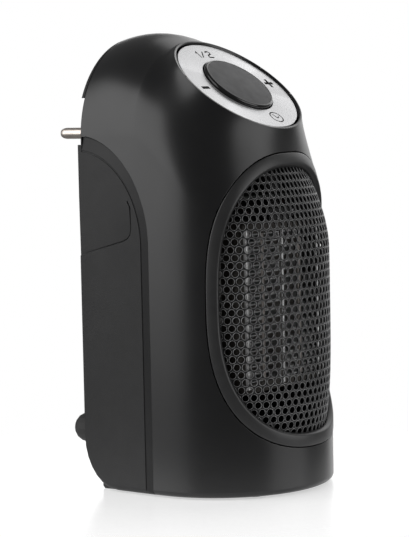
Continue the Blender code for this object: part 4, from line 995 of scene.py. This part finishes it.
def brushed_look(name, colour, roughness, metallic):
    """Metal turned on a lathe: concentric lines, radial stretch of the highlights, and duller sectors of
    painted reflection shade in the colour.
    """
    made, tree, shader = new_look(name, {"Metallic": metallic, "Anisotropic": 0.85})
    split = add(tree, "SeparateXYZ")
    wire(tree, add(tree, "TexCoord"), "Object", split, "Vector")
    uphill = add(tree, "Math", {1: OVAL}, operation="DIVIDE")
    wire(tree, split, "Y", uphill, 0)
    flat = add(tree, "CombineXYZ")
    wire(tree, split, "X", flat, "X")
    wire(tree, uphill, "Value", flat, "Y")
    radius = add(tree, "VectorMath", operation="LENGTH")
    wire(tree, flat, "Vector", radius, 0)
    lines = add(tree, "TexNoise", {"Scale": 5200.0, "Detail": 3.0}, noise_dimensions="1D")
    wire(tree, radius, "Value", lines, "W")
    turn = add(tree, "TexGradient", gradient_type="RADIAL")
    wire(tree, flat, "Vector", turn, "Vector")
    # the duller sectors darken the base colour: painted reflection shade
    sectors = ramped(tree, turn, "Fac", *((place, (shade,) * 3) for place, shade in RING_SECTOR_SHADE))
    dark, light = [c * 0.86 for c in colour], [min(c * 1.08, 1.0) for c in colour]
    shaded = add(tree, "VectorMath", operation="MULTIPLY")
    wire(tree, ramped(tree, lines, "Fac", (0.3, dark), (0.7, light)), "Color", shaded, 0)
    wire(tree, sectors, "Color", shaded, 1)
    wire(tree, shaded, "Vector", shader, "Base Color")
    uneven = ranged(tree, lines, "Fac", roughness - 0.05, roughness + 0.06)
    wire(tree, uneven, "Result", shader, "Roughness")
    bump = add(tree, "Bump", {"Distance": 0.003 * MM})
    wire(tree, lines, "Fac", bump, "Height")
    wire(tree, bump, "Normal", shader, "Normal")
    wire(tree, add(tree, "Tangent", direction_type="RADIAL", axis="Z"), "Tangent", shader, "Tangent")
    return made


def make_looks():
    shell = {"tint": 0.1, "pattern": "spark", "grain": 2400.0, "depth": 0.03, "edge": 0.4}
    return {
        "gloss": look("gloss_black_shell", (0.006, 0.006, 0.0065), 0.3, tint=0.1, spread=0.02, depth=0.0,
                      edge=0.35),
        "matte": look("matte_black_shell", (0.0155, 0.0155, 0.016), 0.48, Specular_IOR_Level=0.29, **shell),
        # darker copy of the matte plastic for the recessed seam band: painted shade
        "band_shade": look("matte_black_band_painted_shade", (0.008, 0.008, 0.0085), 0.52, Specular_IOR_Level=0.33, **shell),
        "frame": look("frame_satin", (0.022, 0.022, 0.0225), 0.38, grain=3000.0, depth=0.006),
        "grille": look("grille_paint", (0.012, 0.012, 0.0125), 0.42, tint=0.16, depth=0.008, edge=0.0,
                       Specular_IOR_Level=0.35),
        # lighter grey on the lips round the holes: a painted highlight
        "grille_rim_highlight": look("grille_rim_painted_highlight", (0.38, 0.38, 0.385), 0.4, tint=0.3, mottle=420.0, metallic=0.3,
                           depth=0.004, edge=0.0),
        "rail": look("rail_aluminium", (0.66, 0.66, 0.66), 0.4, metallic=0.85, tint=0.15, mottle=260.0,
                     grain=900.0, depth=0.02, edge=0.0),
        "brushed": brushed_look("brushed_aluminium_ring", (0.78, 0.78, 0.79), 0.3, metallic=0.72),
        "ink": look("symbol_ink", (0.012, 0.012, 0.012), 0.7, edge=0.0, Specular_IOR_Level=0.1),
        "cap_gloss": look("cap_gloss_black", (0.006, 0.006, 0.006), 0.1, depth=0.0, edge=0.0),
        "cap_face": look("cap_matte_grey", (0.18, 0.18, 0.182), 0.75, grain=5000.0, depth=0.01, edge=0.0,
                         Specular_IOR_Level=0.15),
        "inner": look("inner_plastic_black", (0.016, 0.016, 0.016), 0.55, depth=0.015),
        "nickel": look("nickel_plate", (0.66, 0.6, 0.55), 0.36, metallic=1.0, tint=0.05, grain=900.0,
                       depth=0.004, edge=0.2),
        "brass": look("contact_brass", (0.78, 0.56, 0.25), 0.32, metallic=1.0),
        "steel": look("zinc_plated_steel", (0.6, 0.6, 0.63), 0.34, metallic=1.0, tint=0.2, mottle=600.0),
        "aluminium": look("fin_aluminium", (0.82, 0.82, 0.83), 0.36, metallic=1.0, tint=0.1, mottle=500.0,
                          grain=1500.0, depth=0.02, edge=0.1),
        "ceramic": look("heater_ceramic", (0.33, 0.3, 0.28), 0.62, tint=0.2, mottle=900.0, depth=0.03),
        "brown": look("heat_proof_plastic", (0.05, 0.044, 0.038), 0.55, tint=0.2, depth=0.02),
        "board": look("circuit_board_dark", (0.010, 0.014, 0.011), 0.5, tint=0.35, mottle=420.0, depth=0.02),
        "green": look("terminal_plastic_green", (0.018, 0.07, 0.036), 0.45, depth=0.015),
        "white": look("fan_plastic_white", (0.55, 0.55, 0.53), 0.42, tint=0.05, depth=0.012),
        "red": look("wire_insulation_dark", (0.035, 0.014, 0.012), 0.4, tint=0.1, depth=0.01),
        "rocker": look("rocker_black", (0.014, 0.014, 0.014), 0.26, depth=0.006, edge=0.35),
        "rubber": look("rubber_black", (0.02, 0.02, 0.02), 0.68, tint=0.25, grain=1800.0, depth=0.03,
                       edge=0.4),
    }


NODE_LOOKS = {
    "housing_screw": "steel", "ring_carrier": "inner", "key_board": "board", "key_switch": "steel",
    "ring_seat": "inner", "turntable_plate": "inner", "turntable_retainer": "inner",
    "plug_turntable": "matte",
    "contact_block": "brass", "ptc_fins": "aluminium", "ptc_stone": "ceramic", "ptc_frame": "brown",
    "thermal_cutout": "inner", "thermal_fuse": "steel", "fan_impeller": "white", "motor_shaft": "steel",
    "fan_motor": "steel", "fan_shroud": "inner", "power_board": "board", "heater_relay": "inner",
    "board_transformer": "inner", "smoothing_capacitor": "inner", "filter_capacitor": "inner",
    "mains_terminals": "green", "room_sensor": "inner", "mains_wire": "red", "heater_lead": "red",
    "switch_bezel": "inner", "power_rocker": "rocker", "rubber_foot": "rubber", "wall_bumper": "rubber",
}


def dress_nodes(looks):
    """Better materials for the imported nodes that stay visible."""
    for name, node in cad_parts.items():
        kind = name.rstrip("0123456789").rstrip("_") if name[-1].isdigit() else name
        if kind in NODE_LOOKS:
            for place in node.material_slots:
                place.material = looks[NODE_LOOKS[kind]]
            node.data.shade_smooth()
            node.data.set_sharp_from_angle(angle=math.radians(35))


# ---- studio --------------------------------------------------------------------------------------
def make_floor():
    """Pale floor disc that thins out to nothing with distance, over a white world."""
    points = [(x, y, 0.0) for radius in FLOOR_RADII for x, y in circle(radius, FLOOR_SIDES)]
    faces = []
    for start in range(0, len(points) - FLOOR_SIDES, FLOOR_SIDES):
        for k in range(FLOOR_SIDES):
            a, b = start + k, start + (k + 1) % FLOOR_SIDES
            faces.append((a, b, b + FLOOR_SIDES, a + FLOOR_SIDES))
    faces.append(tuple(range(FLOOR_SIDES)))
    mesh = bpy.data.meshes.new("studio_floor")
    mesh.from_pydata(points, [], faces)
    mesh.shade_smooth()
    floor = bpy.data.objects.new("studio_floor", mesh)
    bpy.context.scene.collection.objects.link(floor)
    pale = look("floor_pale", (0.9, 0.9, 0.9), 0.22, tint=0.01, spread=0.01, depth=0.0, edge=0.0,
                Emission_Color=(1.0, 1.0, 1.0, 1.0), Emission_Strength=FLOOR_GLOW)
    tree = pale.node_tree
    distance = add(tree, "VectorMath", operation="LENGTH")
    wire(tree, add(tree, "TexCoord"), "Object", distance, 0)
    fade = ranged(tree, distance, "Value", 0.0, 1.0, *FLOOR_FADE)
    mix = add(tree, "MixShader")
    wire(tree, fade, "Result", mix, 0)
    wire(tree, tree.nodes["Principled BSDF"], "BSDF", mix, 1)
    wire(tree, add(tree, "BsdfTransparent"), "BSDF", mix, 2)
    wire(tree, mix, "Shader", tree.nodes["Material Output"], "Surface")
    mesh.materials.append(pale)


def make_world():
    """White where the camera sees it, and a weaker even light on everything."""
    world = bpy.data.worlds.new("studio")
    bpy.context.scene.world = world
    world.use_nodes = True
    tree = world.node_tree
    tree.nodes.clear()
    white = (1.0, 1.0, 1.0, 1.0)
    lit = add(tree, "Background", {"Color": white, "Strength": WORLD_LIGHT})
    seen = add(tree, "Background", {"Color": white, "Strength": 1.0})
    mix = add(tree, "MixShader")
    wire(tree, add(tree, "LightPath"), "Is Camera Ray", mix, "Fac")
    wire(tree, lit, "Background", mix, 1)
    wire(tree, seen, "Background", mix, 2)
    wire(tree, mix, "Shader", add(tree, "OutputWorld"), "Surface")


def soft_light(name, place, target, size, radiance):
    """Rectangular panel, aimed at a point; radiance is what a mirror would show of it."""
    panel = bpy.data.lights.new(name, "AREA")
    panel.shape = "RECTANGLE"
    panel.size, panel.size_y = size
    panel.energy = radiance * math.pi * size[0] * size[1]
    made = bpy.data.objects.new(name, panel)
    made.location = place
    made.rotation_mode = "QUATERNION"
    made.rotation_quaternion = (Vector(target) - Vector(place)).to_track_quat("-Z", "Y")
    made.visible_camera = False
    bpy.context.scene.collection.objects.link(made)


def make_lights():
    """Panels: back left, right and high for the ring's face, front right, and low at the back right."""
    middle = Vector((0.0, 0.0, 0.1))
    panels = (
        ("left_panel", 147.0, 22.0, (1.75, 1.65), 2.3),
        ("ring_panel", 2.0, 35.0, (1.35, 1.15), 1.1),
        ("front_panel", 286.0, 8.0, (1.2, 1.05), 1.9),
        ("back_panel", 20.0, 4.0, (1.6, 1.0), 1.0),
    )
    for name, bearing, rise, size, radiance in panels:
        a, e = math.radians(bearing), math.radians(rise)
        way = Vector((math.cos(e) * math.cos(a), math.cos(e) * math.sin(a), math.sin(e)))
        soft_light(name, middle + LIGHT_DISTANCE * way, middle, size, radiance)


def make_camera():
    """Same standpoint, aim, roll and angle of view as the picture."""
    heading, dip, roll = (math.radians(a) for a in (CAMERA_HEADING, CAMERA_DIP, CAMERA_ROLL))
    level = Vector((math.sin(heading), math.cos(heading), 0.0))
    forward = level * math.cos(dip) - Vector((0, 0, math.sin(dip)))
    right = Vector((math.cos(heading), -math.sin(heading), 0.0))
    up = right.cross(forward)
    turned_right = right * math.cos(roll) - up * math.sin(roll)
    turned_up = up * math.cos(roll) + right * math.sin(roll)
    data = bpy.data.cameras.new("camera")
    data.sensor_fit = "AUTO"
    data.sensor_width = 36.0
    data.lens = CAMERA_LENS
    camera = bpy.data.objects.new("camera", data)
    camera.matrix_world = Matrix((turned_right, turned_up, -forward)).transposed().to_4x4()
    camera.location = CAMERA_PLACE
    bpy.context.scene.collection.objects.link(camera)
    bpy.context.scene.camera = camera


def main():
    looks = make_looks()
    make_front_shell(looks["gloss"])
    make_rear_shell(looks["matte"], looks["band_shade"])
    make_frame(looks["frame"])
    make_grille(looks["grille"], looks["grille_rim_highlight"])
    make_heater_trim(looks)
    make_controls(looks)
    make_plug(looks)
    dress_nodes(looks)
    make_floor()
    make_world()
    make_lights()
    make_camera()
    bpy.context.scene.view_settings.view_transform = "Standard"


main()
